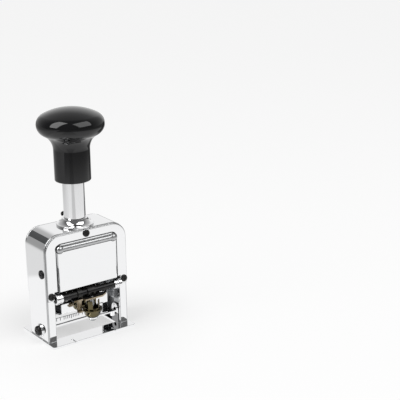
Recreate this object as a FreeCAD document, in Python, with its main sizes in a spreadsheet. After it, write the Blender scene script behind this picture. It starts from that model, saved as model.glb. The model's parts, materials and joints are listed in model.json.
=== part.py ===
import FreeCAD, Part
import math
import os
import re

import Sketcher

# A hand numbering machine: an arched casing on a base plate, a sprung plunger with a mushroom
# knob, and a head of number wheels with its ink pad. Millimetres, +Z up, front towards -Y,
# origin at the middle of the base plate's underside on the plunger's axis.

os.makedirs("parts", exist_ok=True)
doc = FreeCAD.newDocument("numbering_machine")
sheet = doc.addObject("Spreadsheet::Sheet", "Size")

DRIVING = {
    # casing
    "casing_width": 66.0,
    "casing_height": 80.0,
    "casing_depth": 27.0,
    "casing_wall": 2.0,
    "casing_corner": 12.0,
    "flange_width": 6.4,
    "flange_thickness": 1.6,
    # fits and clearances
    "cut_overrun": 1.0,
    "screw_clearance": 0.1,
    "press_clearance": 0.03,
    "running_clearance": 0.08,
    "side_play": 0.3,
    # base plate
    "base_width": 67.7,
    "base_front": 21.9,
    "base_rear": 23.6,
    "base_thickness": 1.6,
    "base_corner": 1.6,
    "window_width": 49.0,
    "window_front": 9.8,
    "window_rear": 12.2,
    "lip_height": 6.3,
    "lip_thickness": 1.0,
    "tick_pitch": 1.6,
    "tick_width": 0.35,
    "tick_depth": 0.3,
    "tick_height": 2.6,
    "notch_width": 1.2,
    "notch_depth": 0.4,
    "notch_length": 5.0,
    "notch_place": 16.5,
    "ear_width": 9.0,
    "ear_height": 12.5,
    "ear_thickness": 1.6,
    # covers
    "cover_thickness": 1.25,
    "cover_inset": 0.35,
    "cover_tab_bottom": 32.6,
    "cover_bottom": 38.6,
    "cover_tab_width": 5.9,
    "rear_cover_bottom": 36.6,
    "panel_half_width": 24.5,
    "panel_drop": 6.7,
    "panel_rise": 0.9,
    "panel_corner": 4.0,
    "ridge_radius": 2.1,
    "ridge_drop": 10.4,
    "ridge_half_width": 21.6,
    "ridge_ball_radius": 2.9,
    # screws
    "cover_screw_radius": 2.6,
    "cover_screw_height": 1.2,
    "cover_screw_shank": 1.3,
    "cover_screw_reach": 2.6,
    "cover_screw_place": 29.7,
    "cover_screw_level": 36.3,
    "cover_screw_drop": 3.1,
    "side_screw_radius": 3.2,
    "side_screw_height": 1.1,
    "side_screw_shank": 1.5,
    "side_screw_reach": 4.4,
    "side_screw_depth": 8.0,
    "side_screw_level": 51.7,
    "base_screw_radius": 3.6,
    "base_screw_height": 2.6,
    "base_screw_shank": 1.6,
    "base_screw_depth": 1.2,
    "base_screw_level": 7.7,
    "washer_radius": 4.7,
    "washer_thickness": 0.7,
    "washer_dish": 0.35,
    "recess_width": 0.7,
    "recess_depth": 0.6,
    # collar, tube and knob
    "tube_radius": 7.75,
    "tube_wall": 1.5,
    "tube_bottom": 50.0,
    "tube_rise": 54.0,
    "collar_flange_radius": 13.4,
    "collar_flange_thickness": 1.2,
    "collar_height": 5.4,
    "collar_top_radius": 9.2,
    "collar_foot_radius": 12.2,
    "collar_curve": 5.0,
    "collar_spigot_radius": 9.2,
    "collar_spigot_depth": 3.4,
    "knob_neck_radius": 12.8,
    "knob_gap": 32.5,
    "knob_radius": 23.7,
    "knob_middle_height": 40.0,
    "knob_height": 51.4,
    "knob_edge_high": 7.5,
    "knob_edge_low": 8.0,
    "knob_flare": 12.0,
    "knob_rim": 0.8,
    "plug_length": 16.0,
    "plug_seat_radius": 3.2,
    "plug_seat_length": 4.0,
    # return spring and its fixed bar
    "stroke_length": 22.0,
    "crossbar_radius": 1.5,
    "crossbar_gap": 2.6,
    "slot_clearance": 0.25,
    "seat_thickness": 1.6,
    "spring_radius": 5.5,
    "spring_wire": 0.8,
    # latch
    "latch_height": 3.4,
    "latch_pin_radius": 1.3,
    "latch_hole_clearance": 0.4,
    "latch_tip_gap": 0.35,
    "latch_travel": 1.2,
    "latch_button_radius": 1.9,
    "latch_button_length": 2.2,
    "latch_button_place": 15.6,
    "latch_spring_radius": 1.7,
    # guide rails and shoes
    "rail_thickness": 4.0,
    "rail_half_depth": 11.0,
    "rail_bottom": 16.0,
    "rail_top": 63.0,
    "groove_depth": 2.5,
    "shoe_half_depth": 4.0,
    "shoe_bottom": 40.0,
    "shoe_top": 54.0,
    "shoe_gap": 0.3,
    # head
    "axle_level": 31.2,
    "axle_radius": 2.0,
    "cheek_half_depth": 7.0,
    "cheek_place": 19.5,
    "cheek_thickness": 2.0,
    "web_bottom": 53.0,
    "web_top": 56.0,
    "boss_radius": 10.2,
    "boss_bottom": 50.0,
    "axle_nut_radius": 3.6,
    "axle_nut_thickness": 1.6,
    "tie_rod_radius": 1.4,
    "tie_rod_depth": 4.6,
    "tie_rod_level": 47.6,
    "comb_thickness": 0.9,
    "comb_depth": 1.15,
    "comb_gap": 0.5,
    "comb_finger_width": 0.8,
    # number wheels
    "wheel_radius": 9.0,
    "type_rise": 0.8,
    "type_width": 2.6,
    "type_length": 3.6,
    "drum_width": 3.2,
    "wheel_width": 4.4,
    "wheel_pitch": 4.8,
    "first_wheel_place": -14.0,
    "ratchet_radius": 7.2,
    "ratchet_depth": 1.0,
    "ratchet_lead": 1.9,
    "spacer_radius": 4.0,
    "spacer_thickness": 0.3,
    "repeat_width": 4.5,
    "repeat_disc_width": 1.6,
    "repeat_hub_radius": 5.0,
    # feed pawl
    "yoke_arm_thickness": 1.0,
    "yoke_eye_radius": 4.0,
    "yoke_angle": 50.0,
    "yoke_reach": 11.6,
    "yoke_bar_radius": 1.2,
    "yoke_arm_width": 3.0,
    "pawl_eye_radius": 2.1,
    "pawl_tip_gap": 0.4,
    "pawl_tooth_width": 0.7,
    # ink pad carrier
    "pad_outer_radius": 15.2,
    "pad_shell": 1.0,
    "pad_gap": 0.4,
    "pad_half_width": 19.1,
    "pad_half_depth": 8.4,
    "pad_arm_gap": 0.7,
    "pad_arm_thickness": 1.2,
    "pad_arm_width": 4.6,
    "pad_eye_radius": 4.2,
    "felt_radius": 9.45,
    "felt_gap": 0.3,
    # front rod, dial and finger
    "rod_radius": 2.5,
    "rod_depth": 13.9,
    "rod_level": 33.2,
    "rod_collar_radius": 3.5,
    "rod_collar_length": 3.4,
    "rod_collar_bevel": 0.6,
    "lug_thickness": 2.2,
    "lug_radius": 3.9,
    "dial_place": 1.3,
    "dial_depth": 16.6,
    "dial_radius": 5.3,
    "dial_wall": 0.9,
    "dial_floor": 1.4,
    "dial_bottom": 14.6,
    "dial_foot_radius": 3.4,
    "dial_bowl_radius": 6.1,
    "dial_bowl_curve": 4.4,
    "dial_bowl_level": 18.4,
    "dial_rim_radius": 7.1,
    "dial_rim_level": 20.0,
    "dial_rim_thickness": 0.9,
    "dial_top": 27.6,
    "dial_slot_width": 4.6,
    "dial_slot_bottom": 21.9,
    "stud_radius": 1.5,
    "stud_bottom": 11.4,
    "strap_thickness": 1.1,
    "plate_left": 5.2,
    "plate_right": 9.0,
    "plate_point": 13.4,
    "plate_front": 19.2,
    "plate_rear": 11.7,
    "plate_tip_width": 1.6,
    "strap_half_width": 3.0,
    "strap_wall": 1.0,
    "dial_nut_radius": 2.6,
    "dial_nut_thickness": 1.0,
    "lever_thickness": 1.0,
    "lever_width": 2.6,
    "lever_length": 18.2,
    "lever_knob_radius": 1.7,
    "lever_knob_height": 2.6,
    "finger_place": -7.9,
    "finger_half_width": 1.8,
    "finger_bottom": 19.6,
    "finger_thickness": 1.1,
    "finger_toe": 3.0,
    "finger_plate_end": 13.4,
}

# Sizes that follow from the driving ones.
DERIVED = {
    "casing_half": "casing_width / 2",
    "casing_face": "casing_depth / 2",
    "casing_inside": "casing_half - casing_wall",
    "cover_face": "casing_face + cover_thickness",
    "panel_top": "casing_height - panel_drop",
    "ridge_place": "casing_height - ridge_drop",
    "cover_screw_top_level": "casing_height - cover_screw_drop",
    "collar_top": "casing_height + collar_height",
    "latch_level": "casing_height + latch_height",
    "tube_top": "casing_height + tube_rise",
    "knob_bottom": "casing_height + knob_gap",
    "knob_middle": "knob_bottom + knob_middle_height",
    "knob_top": "knob_bottom + knob_height",
    "crossbar_level": "web_top + crossbar_gap",
    "leg_inside": "casing_half - flange_width",
    "collar_bore": "tube_radius + running_clearance",
    "tube_inside": "tube_radius - tube_wall",
    "lip_front": "window_rear",
    "lip_rear": "window_rear + lip_thickness",
    "knob_reach": "knob_radius - knob_edge_high",
    "knob_rise": "knob_top - knob_middle",
    "knob_crown": "(knob_reach * knob_reach + knob_rise * knob_rise - knob_edge_high * knob_edge_high)"
                  " / (2 * (knob_rise - knob_edge_high))",
    "knob_crown_share": "knob_crown / (knob_crown - knob_edge_high)",
    "knob_crown_edge": "knob_reach * knob_crown_share",
    "knob_crown_level": "knob_top - knob_crown + (knob_middle - knob_top + knob_crown) * knob_crown_share",
    "knob_under": "knob_radius - knob_edge_low",
    "knob_span": "knob_edge_low + knob_flare",
    "knob_offset": "knob_neck_radius + knob_flare - knob_under",
    "knob_drop": "sqrt(knob_span * knob_span - knob_offset * knob_offset)",
    "knob_low_share": "knob_edge_low / knob_span",
    "knob_low_edge": "knob_under + knob_offset * knob_low_share",
    "knob_low_level": "knob_middle - knob_drop * knob_low_share",
    "knob_neck_top": "knob_middle - knob_drop",
    "seat_bottom": "crossbar_level + crossbar_radius + press_clearance",
    "seat_top": "seat_bottom + seat_thickness",
    "plug_bottom": "tube_top - plug_length",
    "slot_bottom": "crossbar_level - crossbar_radius - slot_clearance",
    "slot_top": "crossbar_level + stroke_length + crossbar_radius + slot_clearance",
    "slot_half": "crossbar_radius + slot_clearance",
    "rail_place": "casing_inside - rail_thickness",
    "groove_floor": "rail_place + groove_depth",
    "groove_half": "shoe_half_depth + shoe_gap",
    "cheek_face": "cheek_place + cheek_thickness",
    "pad_arm_place": "cheek_face + pad_arm_gap",
    "pad_arm_face": "pad_arm_place + pad_arm_thickness",
    "nut_place": "pad_arm_face + side_play",
    "axle_end": "nut_place + axle_nut_thickness",
    "wheel_bore": "axle_radius + running_clearance",
    "wheel_left": "-wheel_width / 2",
    "drum_radius": "wheel_radius - type_rise",
    "last_wheel_place": "first_wheel_place + 5 * wheel_pitch",
    "repeat_left": "last_wheel_place + wheel_width / 2 + side_play + press_clearance",
    "repeat_right": "repeat_left + repeat_width",
    "yoke_place": "cheek_place - side_play - yoke_arm_thickness",
    "shell_inside": "pad_outer_radius - pad_shell",
    "lug_inside": "leg_inside - lug_thickness",
    "collar_inside": "lug_inside - rod_collar_length",
    "strap_radius": "rod_radius + press_clearance + strap_wall",
    "strap_level": "rod_level - rod_radius - strap_wall",
}

for row, (alias, value) in enumerate({**DRIVING, **DERIVED}.items(), start=1):
    sheet.set(f"A{row}", alias)
    sheet.set(f"B{row}", str(value) if alias in DRIVING else "=" + value)
    sheet.setAlias(f"B{row}", alias)
doc.recompute()

kept = []


def bound(text):
    """Put the sheet's name before every alias in an expression."""
    return re.sub(r"[a-z]+(?:_[a-z]+)+", lambda word: "Size." + word.group(), str(text))


def number(text):
    """The present value of an expression."""
    return float(sheet.evalExpression(bound(text)))


def bind(item, prop, text):
    item.setExpression(prop, bound(text))


def keep(item, label):
    """Name a finished sub-part and list it for export."""
    item.Label = label
    kept.append(item)
    return item


def place(item, x="0", y="0", z="0", turn=None):
    """Put an object at sheet-bound coordinates, after an optional quarter turn."""
    if turn:
        item.Placement = FreeCAD.Placement(FreeCAD.Vector(), FreeCAD.Rotation(FreeCAD.Vector(*turn[0]), turn[1]))
    bind(item, "Placement.Base.x", x)
    bind(item, "Placement.Base.y", y)
    bind(item, "Placement.Base.z", z)
    return item


# Quarter turns that point an object's own +Z axis another way.
TO_FRONT = ((1, 0, 0), 90)
TO_REAR = ((1, 0, 0), -90)
TO_LEFT = ((0, 1, 0), -90)
TO_RIGHT = ((0, 1, 0), 90)


def body_of(name):
    return doc.addObject("PartDesign::Body", name)


def datum(body, role):
    return [item for item in body.Origin.OriginFeatures if item.Role == role][0]


def sketch_on(body, role, offset="0"):
    sketch = body.newObject("Sketcher::SketchObject", body.Name + "_sketch")
    sketch.AttachmentSupport = [(datum(body, role), "")]
    sketch.MapMode = "FlatFace"
    bind(sketch, "AttachmentOffset.Base.z", offset)
    return sketch


def fix_point(sketch, edge, end, x, y):
    """Hold a point of a sketch at two sheet-bound distances from its origin."""
    for kind, text in (("DistanceX", x), ("DistanceY", y)):
        index = sketch.addConstraint(Sketcher.Constraint(kind, -1, 1, edge, end, number(text)))
        bind(sketch, f"Constraints[{index}]", text)


def fix_radius(sketch, edge, radius):
    index = sketch.addConstraint(Sketcher.Constraint("Radius", edge, number(radius)))
    bind(sketch, f"Constraints[{index}]", radius)


def outline(sketch, corners):
    """Close an outline. A corner is (x, y), or (x, y, radius, turn) where an arc leaves it,
    turning left (+1) or right (-1) by less than half a circle to the next corner."""
    first = sketch.GeometryCount
    points = [FreeCAD.Vector(number(corner[0]), number(corner[1]), 0) for corner in corners]
    ends = []
    for index, corner in enumerate(corners):
        start = points[index]
        stop = points[(index + 1) % len(points)]
        if len(corner) == 2:
            sketch.addGeometry(Part.LineSegment(start, stop), False)
            ends.append((1, 2))
            continue
        radius = number(corner[2])
        chord = stop - start
        side = FreeCAD.Vector(-chord.y, chord.x, 0).normalize() * corner[3]
        rise = math.sqrt(max(radius ** 2 - (chord.Length / 2) ** 2, 0))
        centre = (start + stop) / 2 + side * rise
        angles = [math.atan2(point.y - centre.y, point.x - centre.x) for point in (start, stop)]
        if corner[3] < 0:
            angles.reverse()
        circle = Part.Circle(centre, FreeCAD.Vector(0, 0, 1), radius)
        sketch.addGeometry(Part.ArcOfCircle(circle, *angles), False)
        ends.append((1, 2) if corner[3] > 0 else (2, 1))
    for index, corner in enumerate(corners):
        after = (index + 1) % len(corners)
        sketch.addConstraint(
            Sketcher.Constraint("Coincident", first + index, ends[index][1], first + after, ends[after][0]))
    for index, corner in enumerate(corners):
        fix_point(sketch, first + index, ends[index][0], corner[0], corner[1])
        if len(corner) == 4:
            fix_radius(sketch, first + index, corner[2])


def rectangle(sketch, left, right, low, high):
    outline(sketch, [(left, low), (right, low), (right, high), (left, high)])


def circle(sketch, x, y, radius):
    centre = FreeCAD.Vector(number(x), number(y), 0)
    edge = sketch.addGeometry(Part.Circle(centre, FreeCAD.Vector(0, 0, 1), number(radius)), False)
    fix_point(sketch, edge, 3, x, y)
    fix_radius(sketch, edge, radius)


def extrude(kind, body, sketch, length, both=False, back=False):
    """Pad or pocket a sketch by a sheet-bound length, one way or half to each side."""
    feature = body.newObject("PartDesign::" + kind, body.Name + "_" + kind.lower())
    feature.Profile = sketch
    bind(feature, "Length", length)
    if both:
        feature.SideType = "Symmetric"
    feature.Reversed = back
    sketch.Visibility = False
    body.Tip = feature
    return feature


def pad(body, sketch, length, both=False, back=False):
    return extrude("Pad", body, sketch, length, both, back)


def pocket(body, sketch, length, both=False, back=False):
    return extrude("Pocket", body, sketch, length, both, back)


def revolve(body, sketch, axis, kind="Revolution"):
    feature = body.newObject("PartDesign::" + kind, body.Name + "_" + kind.lower())
    feature.Profile = sketch
    feature.ReferenceAxis = (datum(body, axis), [""])
    feature.Angle = 360
    body.Tip = feature
    return feature


def around(body, feature, axis, count):
    """Repeat a feature evenly around an axis of its body."""
    pattern = body.newObject("PartDesign::PolarPattern", body.Name + "_around")
    pattern.Originals = [feature]
    pattern.Axis = (datum(body, axis), [""])
    pattern.Angle = 360
    pattern.Occurrences = count
    body.Tip = pattern
    return pattern


def box(x, y, z):
    """A Part box between pairs of sheet-bound limits."""
    item = doc.addObject("Part::Box", "box")
    bind(item, "Length", f"({x[1]}) - ({x[0]})")
    bind(item, "Width", f"({y[1]}) - ({y[0]})")
    bind(item, "Height", f"({z[1]}) - ({z[0]})")
    return place(item, x[0], y[0], z[0])


def rod(axis, radius, start, stop, first="0", second="0"):
    """A Part cylinder along X, Y or Z between two limits, at the other two coordinates."""
    item = doc.addObject("Part::Cylinder", "rod")
    bind(item, "Radius", radius)
    bind(item, "Height", f"({stop}) - ({start})")
    if axis == "X":
        return place(item, start, first, second, TO_RIGHT)
    if axis == "Y":
        return place(item, first, start, second, TO_REAR)
    return place(item, first, second, start)


def fuse(*items):
    item = doc.addObject("Part::MultiFuse", "fuse")
    item.Shapes = list(items)
    item.Refine = True
    return item


def cut(base, *tools):
    item = doc.addObject("Part::Cut", "cut")
    item.Base = base
    item.Tool = tools[0] if len(tools) == 1 else fuse(*tools)
    return item


def together(*items):
    """Several like solids that form one sub-part."""
    item = doc.addObject("Part::Compound", "set")
    item.Links = list(items)
    return item


# Casing: an arched channel with inward flanges at the front and the rear.

def arch(sketch, inset, bottom):
    side = f"casing_half - {inset}"
    top = f"casing_height - {inset}"
    radius = f"casing_corner - {inset}"
    outline(sketch, [
        (f"-({side})", bottom),
        (side, bottom),
        (side, f"{top} - ({radius})", radius, 1),
        (f"{side} - ({radius})", top),
        (f"-({side}) + {radius}", top, radius, 1),
        (f"-({side})", f"{top} - ({radius})"),
    ])


frame = body_of("frame")
sketch = sketch_on(frame, "XZ_Plane")
arch(sketch, "0", "base_thickness")
pad(frame, sketch, "casing_depth", both=True)
sketch = sketch_on(frame, "XZ_Plane")
arch(sketch, "flange_width", "base_thickness - cut_overrun")
pocket(frame, sketch, "casing_depth + 2 * cut_overrun", both=True)
sketch = sketch_on(frame, "XZ_Plane")
arch(sketch, "casing_wall", "base_thickness - cut_overrun")
pocket(frame, sketch, "casing_depth - 2 * flange_thickness", both=True)
sketch = sketch_on(frame, "XY_Plane", "casing_height + cut_overrun")
circle(sketch, "0", "0", "collar_spigot_radius + press_clearance")
pocket(frame, sketch, "casing_wall + 2 * cut_overrun")
# Lugs inside the front legs carry the rod that crosses below the cover.
for side in ("-1", "1"):
    sketch = sketch_on(frame, "YZ_Plane", f"{side} * (lug_inside + lug_thickness / 2)")
    outline(sketch, [
        ("-rod_depth - lug_radius", "rod_level", "lug_radius", 1),
        ("-rod_depth", "rod_level - lug_radius"),
        ("-casing_face + flange_thickness", "rod_level - lug_radius"),
        ("-casing_face + flange_thickness", "rod_level + lug_radius"),
        ("-rod_depth", "rod_level + lug_radius", "lug_radius", 1),
    ])
    pad(frame, sketch, "lug_thickness + 2 * press_clearance", both=True)
sketch = sketch_on(frame, "YZ_Plane")
circle(sketch, "-rod_depth", "rod_level", "rod_radius + press_clearance")
pocket(frame, sketch, "2 * leg_inside", both=True)
# Holes for the cover screws, the rail screws and the base screws.
sketch = sketch_on(frame, "XZ_Plane")
for side in ("-1", "1"):
    circle(sketch, f"{side} * cover_screw_place", "cover_screw_level", "cover_screw_shank + screw_clearance")
circle(sketch, "0", "cover_screw_top_level", "cover_screw_shank + screw_clearance")
pocket(frame, sketch, "casing_depth + 2 * cut_overrun", both=True)
sketch = sketch_on(frame, "YZ_Plane")
circle(sketch, "-side_screw_depth", "side_screw_level", "side_screw_shank + screw_clearance")
circle(sketch, "-base_screw_depth", "base_screw_level", "base_screw_shank + screw_clearance")
pocket(frame, sketch, "casing_width + 2 * cut_overrun", both=True)
keep(frame, "frame")

# Base plate: a flat plate with the printing window, a rear lip with tick marks, and two ears.

base_plate = body_of("base_plate")
sketch = sketch_on(base_plate, "XY_Plane")
outline(sketch, [
    ("-base_width / 2 + base_corner", "-base_front"),
    ("base_width / 2 - base_corner", "-base_front", "base_corner", 1),
    ("base_width / 2", "-base_front + base_corner"),
    ("base_width / 2", "base_rear - base_corner", "base_corner", 1),
    ("base_width / 2 - base_corner", "base_rear"),
    ("-base_width / 2 + base_corner", "base_rear", "base_corner", 1),
    ("-base_width / 2", "base_rear - base_corner"),
    ("-base_width / 2", "-base_front + base_corner", "base_corner", 1),
])
pad(base_plate, sketch, "base_thickness")
sketch = sketch_on(base_plate, "XY_Plane")
rectangle(sketch, "-window_width / 2", "window_width / 2", "lip_front", "lip_rear")
pad(base_plate, sketch, "lip_height")
for side in ("-1", "1"):
    sketch = sketch_on(base_plate, "YZ_Plane", f"{side} * (casing_inside - ear_thickness / 2)")
    outline(sketch, [
        ("-base_screw_depth - ear_width / 2", "base_thickness / 2"),
        ("-base_screw_depth + ear_width / 2", "base_thickness / 2"),
        ("-base_screw_depth + ear_width / 2", "ear_height - ear_width / 2", "ear_width / 2", 1),
        ("-base_screw_depth", "ear_height", "ear_width / 2", 1),
        ("-base_screw_depth - ear_width / 2", "ear_height - ear_width / 2"),
    ])
    pad(base_plate, sketch, "ear_thickness", both=True)
sketch = sketch_on(base_plate, "XY_Plane")
rectangle(sketch, "-window_width / 2", "window_width / 2", "-window_front", "window_rear")
pocket(base_plate, sketch, "base_thickness + cut_overrun", back=True)
sketch = sketch_on(base_plate, "YZ_Plane")
circle(sketch, "-base_screw_depth", "base_screw_level", "base_screw_shank + screw_clearance")
pocket(base_plate, sketch, "casing_width", both=True)
# Sight notches on the front edge mark the first and last digit.
sketch = sketch_on(base_plate, "XY_Plane", "base_thickness")
for side in ("-1", "1"):
    centre = f"{side} * notch_place"
    rectangle(sketch, f"{centre} - notch_width / 2", f"{centre} + notch_width / 2",
              "-base_front - cut_overrun", "-base_front + notch_length")
pocket(base_plate, sketch, "notch_depth")
sketch = sketch_on(base_plate, "XZ_Plane", "-lip_front")
TICKS = 25
for index in range(TICKS):
    centre = f"{index - TICKS // 2} * tick_pitch"
    rectangle(sketch, f"{centre} - tick_width / 2", f"{centre} + tick_width / 2",
              "lip_height - tick_height", "lip_height + cut_overrun")
pocket(base_plate, sketch, "tick_depth")
keep(base_plate, "base_plate")


# Covers: flat plates with rounded top corners and a tab at each lower corner.

def cover_outline(sketch, bottom):
    side = "casing_half - cover_inset"
    top = "casing_height - cover_inset"
    radius = "(casing_corner - cover_inset)"
    tab = f"{side} - cover_tab_width"
    outline(sketch, [
        (f"-({side})", "cover_tab_bottom"),
        (f"-({tab})", "cover_tab_bottom"),
        (f"-({tab})", bottom),
        (tab, bottom),
        (tab, "cover_tab_bottom"),
        (side, "cover_tab_bottom"),
        (side, f"{top} - {radius}", radius, 1),
        (f"{side} - {radius}", top),
        (f"-({side}) + {radius}", top, radius, 1),
        (f"-({side})", f"{top} - {radius}"),
    ])


def cover(name, bottom, offset):
    body = body_of(name)
    sketch = sketch_on(body, "XZ_Plane", offset)
    cover_outline(sketch, bottom)
    for side in ("-1", "1"):
        circle(sketch, f"{side} * cover_screw_place", "cover_screw_level", "cover_screw_shank + screw_clearance")
    circle(sketch, "0", "cover_screw_top_level", "cover_screw_shank + screw_clearance")
    pad(body, sketch, "cover_thickness")
    return body


front_cover = cover("front_plate", "cover_bottom", "casing_face")
sketch = sketch_on(front_cover, "XZ_Plane", "cover_face")
outline(sketch, [
    ("-panel_half_width", "cover_bottom"),
    ("panel_half_width", "cover_bottom"),
    ("panel_half_width", "panel_top - panel_corner", "panel_corner", 1),
    ("panel_half_width - panel_corner", "panel_top"),
    ("-panel_half_width + panel_corner", "panel_top", "panel_corner", 1),
    ("-panel_half_width", "panel_top - panel_corner"),
])
pad(front_cover, sketch, "panel_rise")
# The half-round ridge over the panel, with a rounded end at each side.
ridge = rod("X", "ridge_radius", "-ridge_half_width", "ridge_half_width", "-cover_face", "ridge_place")
balls = []
for side in ("-1", "1"):
    ball = doc.addObject("Part::Sphere", "ball")
    bind(ball, "Radius", "ridge_ball_radius")
    balls.append(place(ball, f"{side} * ridge_half_width", "-cover_face", "ridge_place"))
behind = box(("-casing_half", "casing_half"), ("-casing_face", "0"), ("cover_bottom", "casing_height"))
keep(cut(fuse(front_cover, ridge, *balls), behind), "front_cover")
rear_cover = cover("rear_cover", "rear_cover_bottom", "-cover_face")
keep(rear_cover, "rear_cover")


# Screws: a domed head with a cross recess on a plain shank, drawn along +Z and then turned.

def screw(name, head, height, shank, reach, x, y, z, turn):
    body = body_of(name)
    sketch = sketch_on(body, "XZ_Plane")
    outline(sketch, [
        ("0", f"-({reach})"),
        (shank, f"-({reach})"),
        (shank, "0"),
        (head, "0"),
        (head, f"{height} / 3", f"{height} * 1.5", 1),
        (f"{head} * 0.62", height),
        ("0", height),
    ])
    revolve(body, sketch, "Z_Axis")
    sketch = sketch_on(body, "XY_Plane", height)
    arm = f"{head} * 0.55"
    thick = "recess_width / 2"
    outline(sketch, [
        (f"-({arm})", f"-{thick}"), (f"-{thick}", f"-{thick}"), (f"-{thick}", f"-({arm})"),
        (thick, f"-({arm})"), (thick, f"-{thick}"), (arm, f"-{thick}"), (arm, thick),
        (thick, thick), (thick, arm), (f"-{thick}", arm), (f"-{thick}", thick), (f"-({arm})", thick),
    ])
    pocket(body, sketch, "recess_depth")
    return place(body, x, y, z, turn)


def cover_screws(name, face, turn):
    sites = [("-cover_screw_place", "cover_screw_level"), ("cover_screw_place", "cover_screw_level"),
             ("0", "cover_screw_top_level")]
    return keep(together(*[
        screw(name + "_one", "cover_screw_radius", "cover_screw_height", "cover_screw_shank",
              "cover_screw_reach", x, face, z, turn) for x, z in sites]), name)


cover_screws("front_cover_screws", "-cover_face", TO_FRONT)
cover_screws("rear_cover_screws", "cover_face", TO_REAR)
keep(together(*[
    screw("side_screw", "side_screw_radius", "side_screw_height", "side_screw_shank", "side_screw_reach",
          f"{side} * casing_half", "-side_screw_depth", "side_screw_level", turn)
    for side, turn in (("-1", TO_LEFT), ("1", TO_RIGHT))]), "side_screws")
keep(together(*[
    screw("base_screw", "base_screw_radius", "base_screw_height", "base_screw_shank",
          "washer_thickness + casing_wall + ear_thickness", f"{side} * (casing_half + washer_thickness)",
          "-base_screw_depth", "base_screw_level", turn)
    for side, turn in (("-1", TO_LEFT), ("1", TO_RIGHT))]), "base_screws")


# Dished washers under the base screws.

def washer(side, turn):
    body = body_of("base_screw_washer")
    sketch = sketch_on(body, "XZ_Plane")
    outline(sketch, [
        ("base_screw_shank + screw_clearance", "0"),
        ("washer_radius", "0"),
        ("washer_radius", "washer_thickness + washer_dish"),
        ("washer_radius - washer_dish", "washer_thickness + washer_dish"),
        ("base_screw_radius + washer_dish", "washer_thickness"),
        ("base_screw_shank + screw_clearance", "washer_thickness"),
    ])
    revolve(body, sketch, "Z_Axis")
    return place(body, f"{side} * casing_half", "-base_screw_depth", "base_screw_level", turn)


keep(together(washer("-1", TO_LEFT), washer("1", TO_RIGHT)), "base_screw_washers")

# Collar: a flared guide for the plunger, riveted through the top of the casing.

collar = body_of("collar")
sketch = sketch_on(collar, "XZ_Plane")
outline(sketch, [
    ("collar_bore", "casing_height - collar_spigot_depth"),
    ("collar_spigot_radius", "casing_height - collar_spigot_depth"),
    ("collar_spigot_radius", "casing_height"),
    ("collar_flange_radius", "casing_height"),
    ("collar_flange_radius", "casing_height + collar_flange_thickness"),
    ("collar_foot_radius", "casing_height + collar_flange_thickness", "collar_curve", -1),
    ("collar_top_radius", "collar_top"),
    ("collar_bore", "collar_top"),
])
revolve(collar, sketch, "Z_Axis")
sketch = sketch_on(collar, "XZ_Plane", "-collar_flange_radius - cut_overrun")
circle(sketch, "0", "latch_level", "latch_pin_radius + running_clearance")
pocket(collar, sketch, "collar_flange_radius + cut_overrun", back=True)
keep(collar, "collar")

# Guide rails: grooved blocks on the side walls, drilled for the crossbar and the side screws.


def within(item):
    """The part of an item that lies inside the casing's walls."""
    body = body_of("casing_inside")
    sketch = sketch_on(body, "XZ_Plane")
    arch(sketch, "casing_wall", "base_thickness")
    pad(body, sketch, "casing_depth", both=True)
    trimmed = doc.addObject("Part::Common", "trimmed")
    trimmed.Base = item
    trimmed.Tool = body
    return trimmed


for name, side in (("left_guide_rail", "-1"), ("right_guide_rail", "1")):
    inner, outer = (("-casing_inside", "-rail_place") if side == "-1" else ("rail_place", "casing_inside"))
    block = box((inner, outer), ("-rail_half_depth", "rail_half_depth"), ("rail_bottom", "rail_top"))
    groove_x = (("-groove_floor", "-rail_place + cut_overrun") if side == "-1"
                else ("rail_place - cut_overrun", "groove_floor"))
    groove = box(groove_x, ("-groove_half", "groove_half"), ("rail_bottom - cut_overrun", "rail_top + cut_overrun"))
    bar_hole = rod("X", "crossbar_radius + press_clearance", inner, outer, "0", "crossbar_level")
    screw_hole = rod("X", "side_screw_shank + screw_clearance", inner, outer, "-side_screw_depth", "side_screw_level")
    keep(cut(within(block), groove, bar_hole, screw_hole), name)

# Crossbar and seat: the fixed end of the return spring.

keep(within(rod("X", "crossbar_radius", "-casing_inside", "casing_inside", "0", "crossbar_level")), "spring_crossbar")
keep(rod("Z", "tube_inside - side_play", "seat_bottom", "seat_top"), "spring_seat")

# Front rod with a collar at each end.

keep(rod("X", "rod_radius", "-leg_inside", "leg_inside", "-rod_depth", "rod_level"), "front_rod")


def rod_collar(side, turn):
    body = body_of("rod_collar")
    sketch = sketch_on(body, "XZ_Plane")
    outline(sketch, [
        ("rod_radius + press_clearance", "0"),
        ("rod_collar_radius - rod_collar_bevel", "0"),
        ("rod_collar_radius", "rod_collar_bevel"),
        ("rod_collar_radius", "rod_collar_length - press_clearance"),
        ("rod_radius + press_clearance", "rod_collar_length - press_clearance"),
    ])
    revolve(body, sketch, "Z_Axis")
    return place(body, f"{side} * collar_inside", "-rod_depth", "rod_level", turn)


keep(together(rod_collar("-1", TO_LEFT), rod_collar("1", TO_RIGHT)), "rod_collars")

# Dial bracket: a brass plate that hangs from the front rod by a strap and holds the dial's stud.

strap_x = ("dial_place - strap_half_width", "dial_place + strap_half_width")
plate_z = ("strap_level - strap_thickness", "strap_level")
rod_gap = "rod_radius + press_clearance"


def rod_hole(limits):
    """The front rod's hole through a piece that is strung on it."""
    return rod("X", rod_gap, f"{limits[0]} - cut_overrun", f"{limits[1]} + cut_overrun", "-rod_depth", "rod_level")


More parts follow.
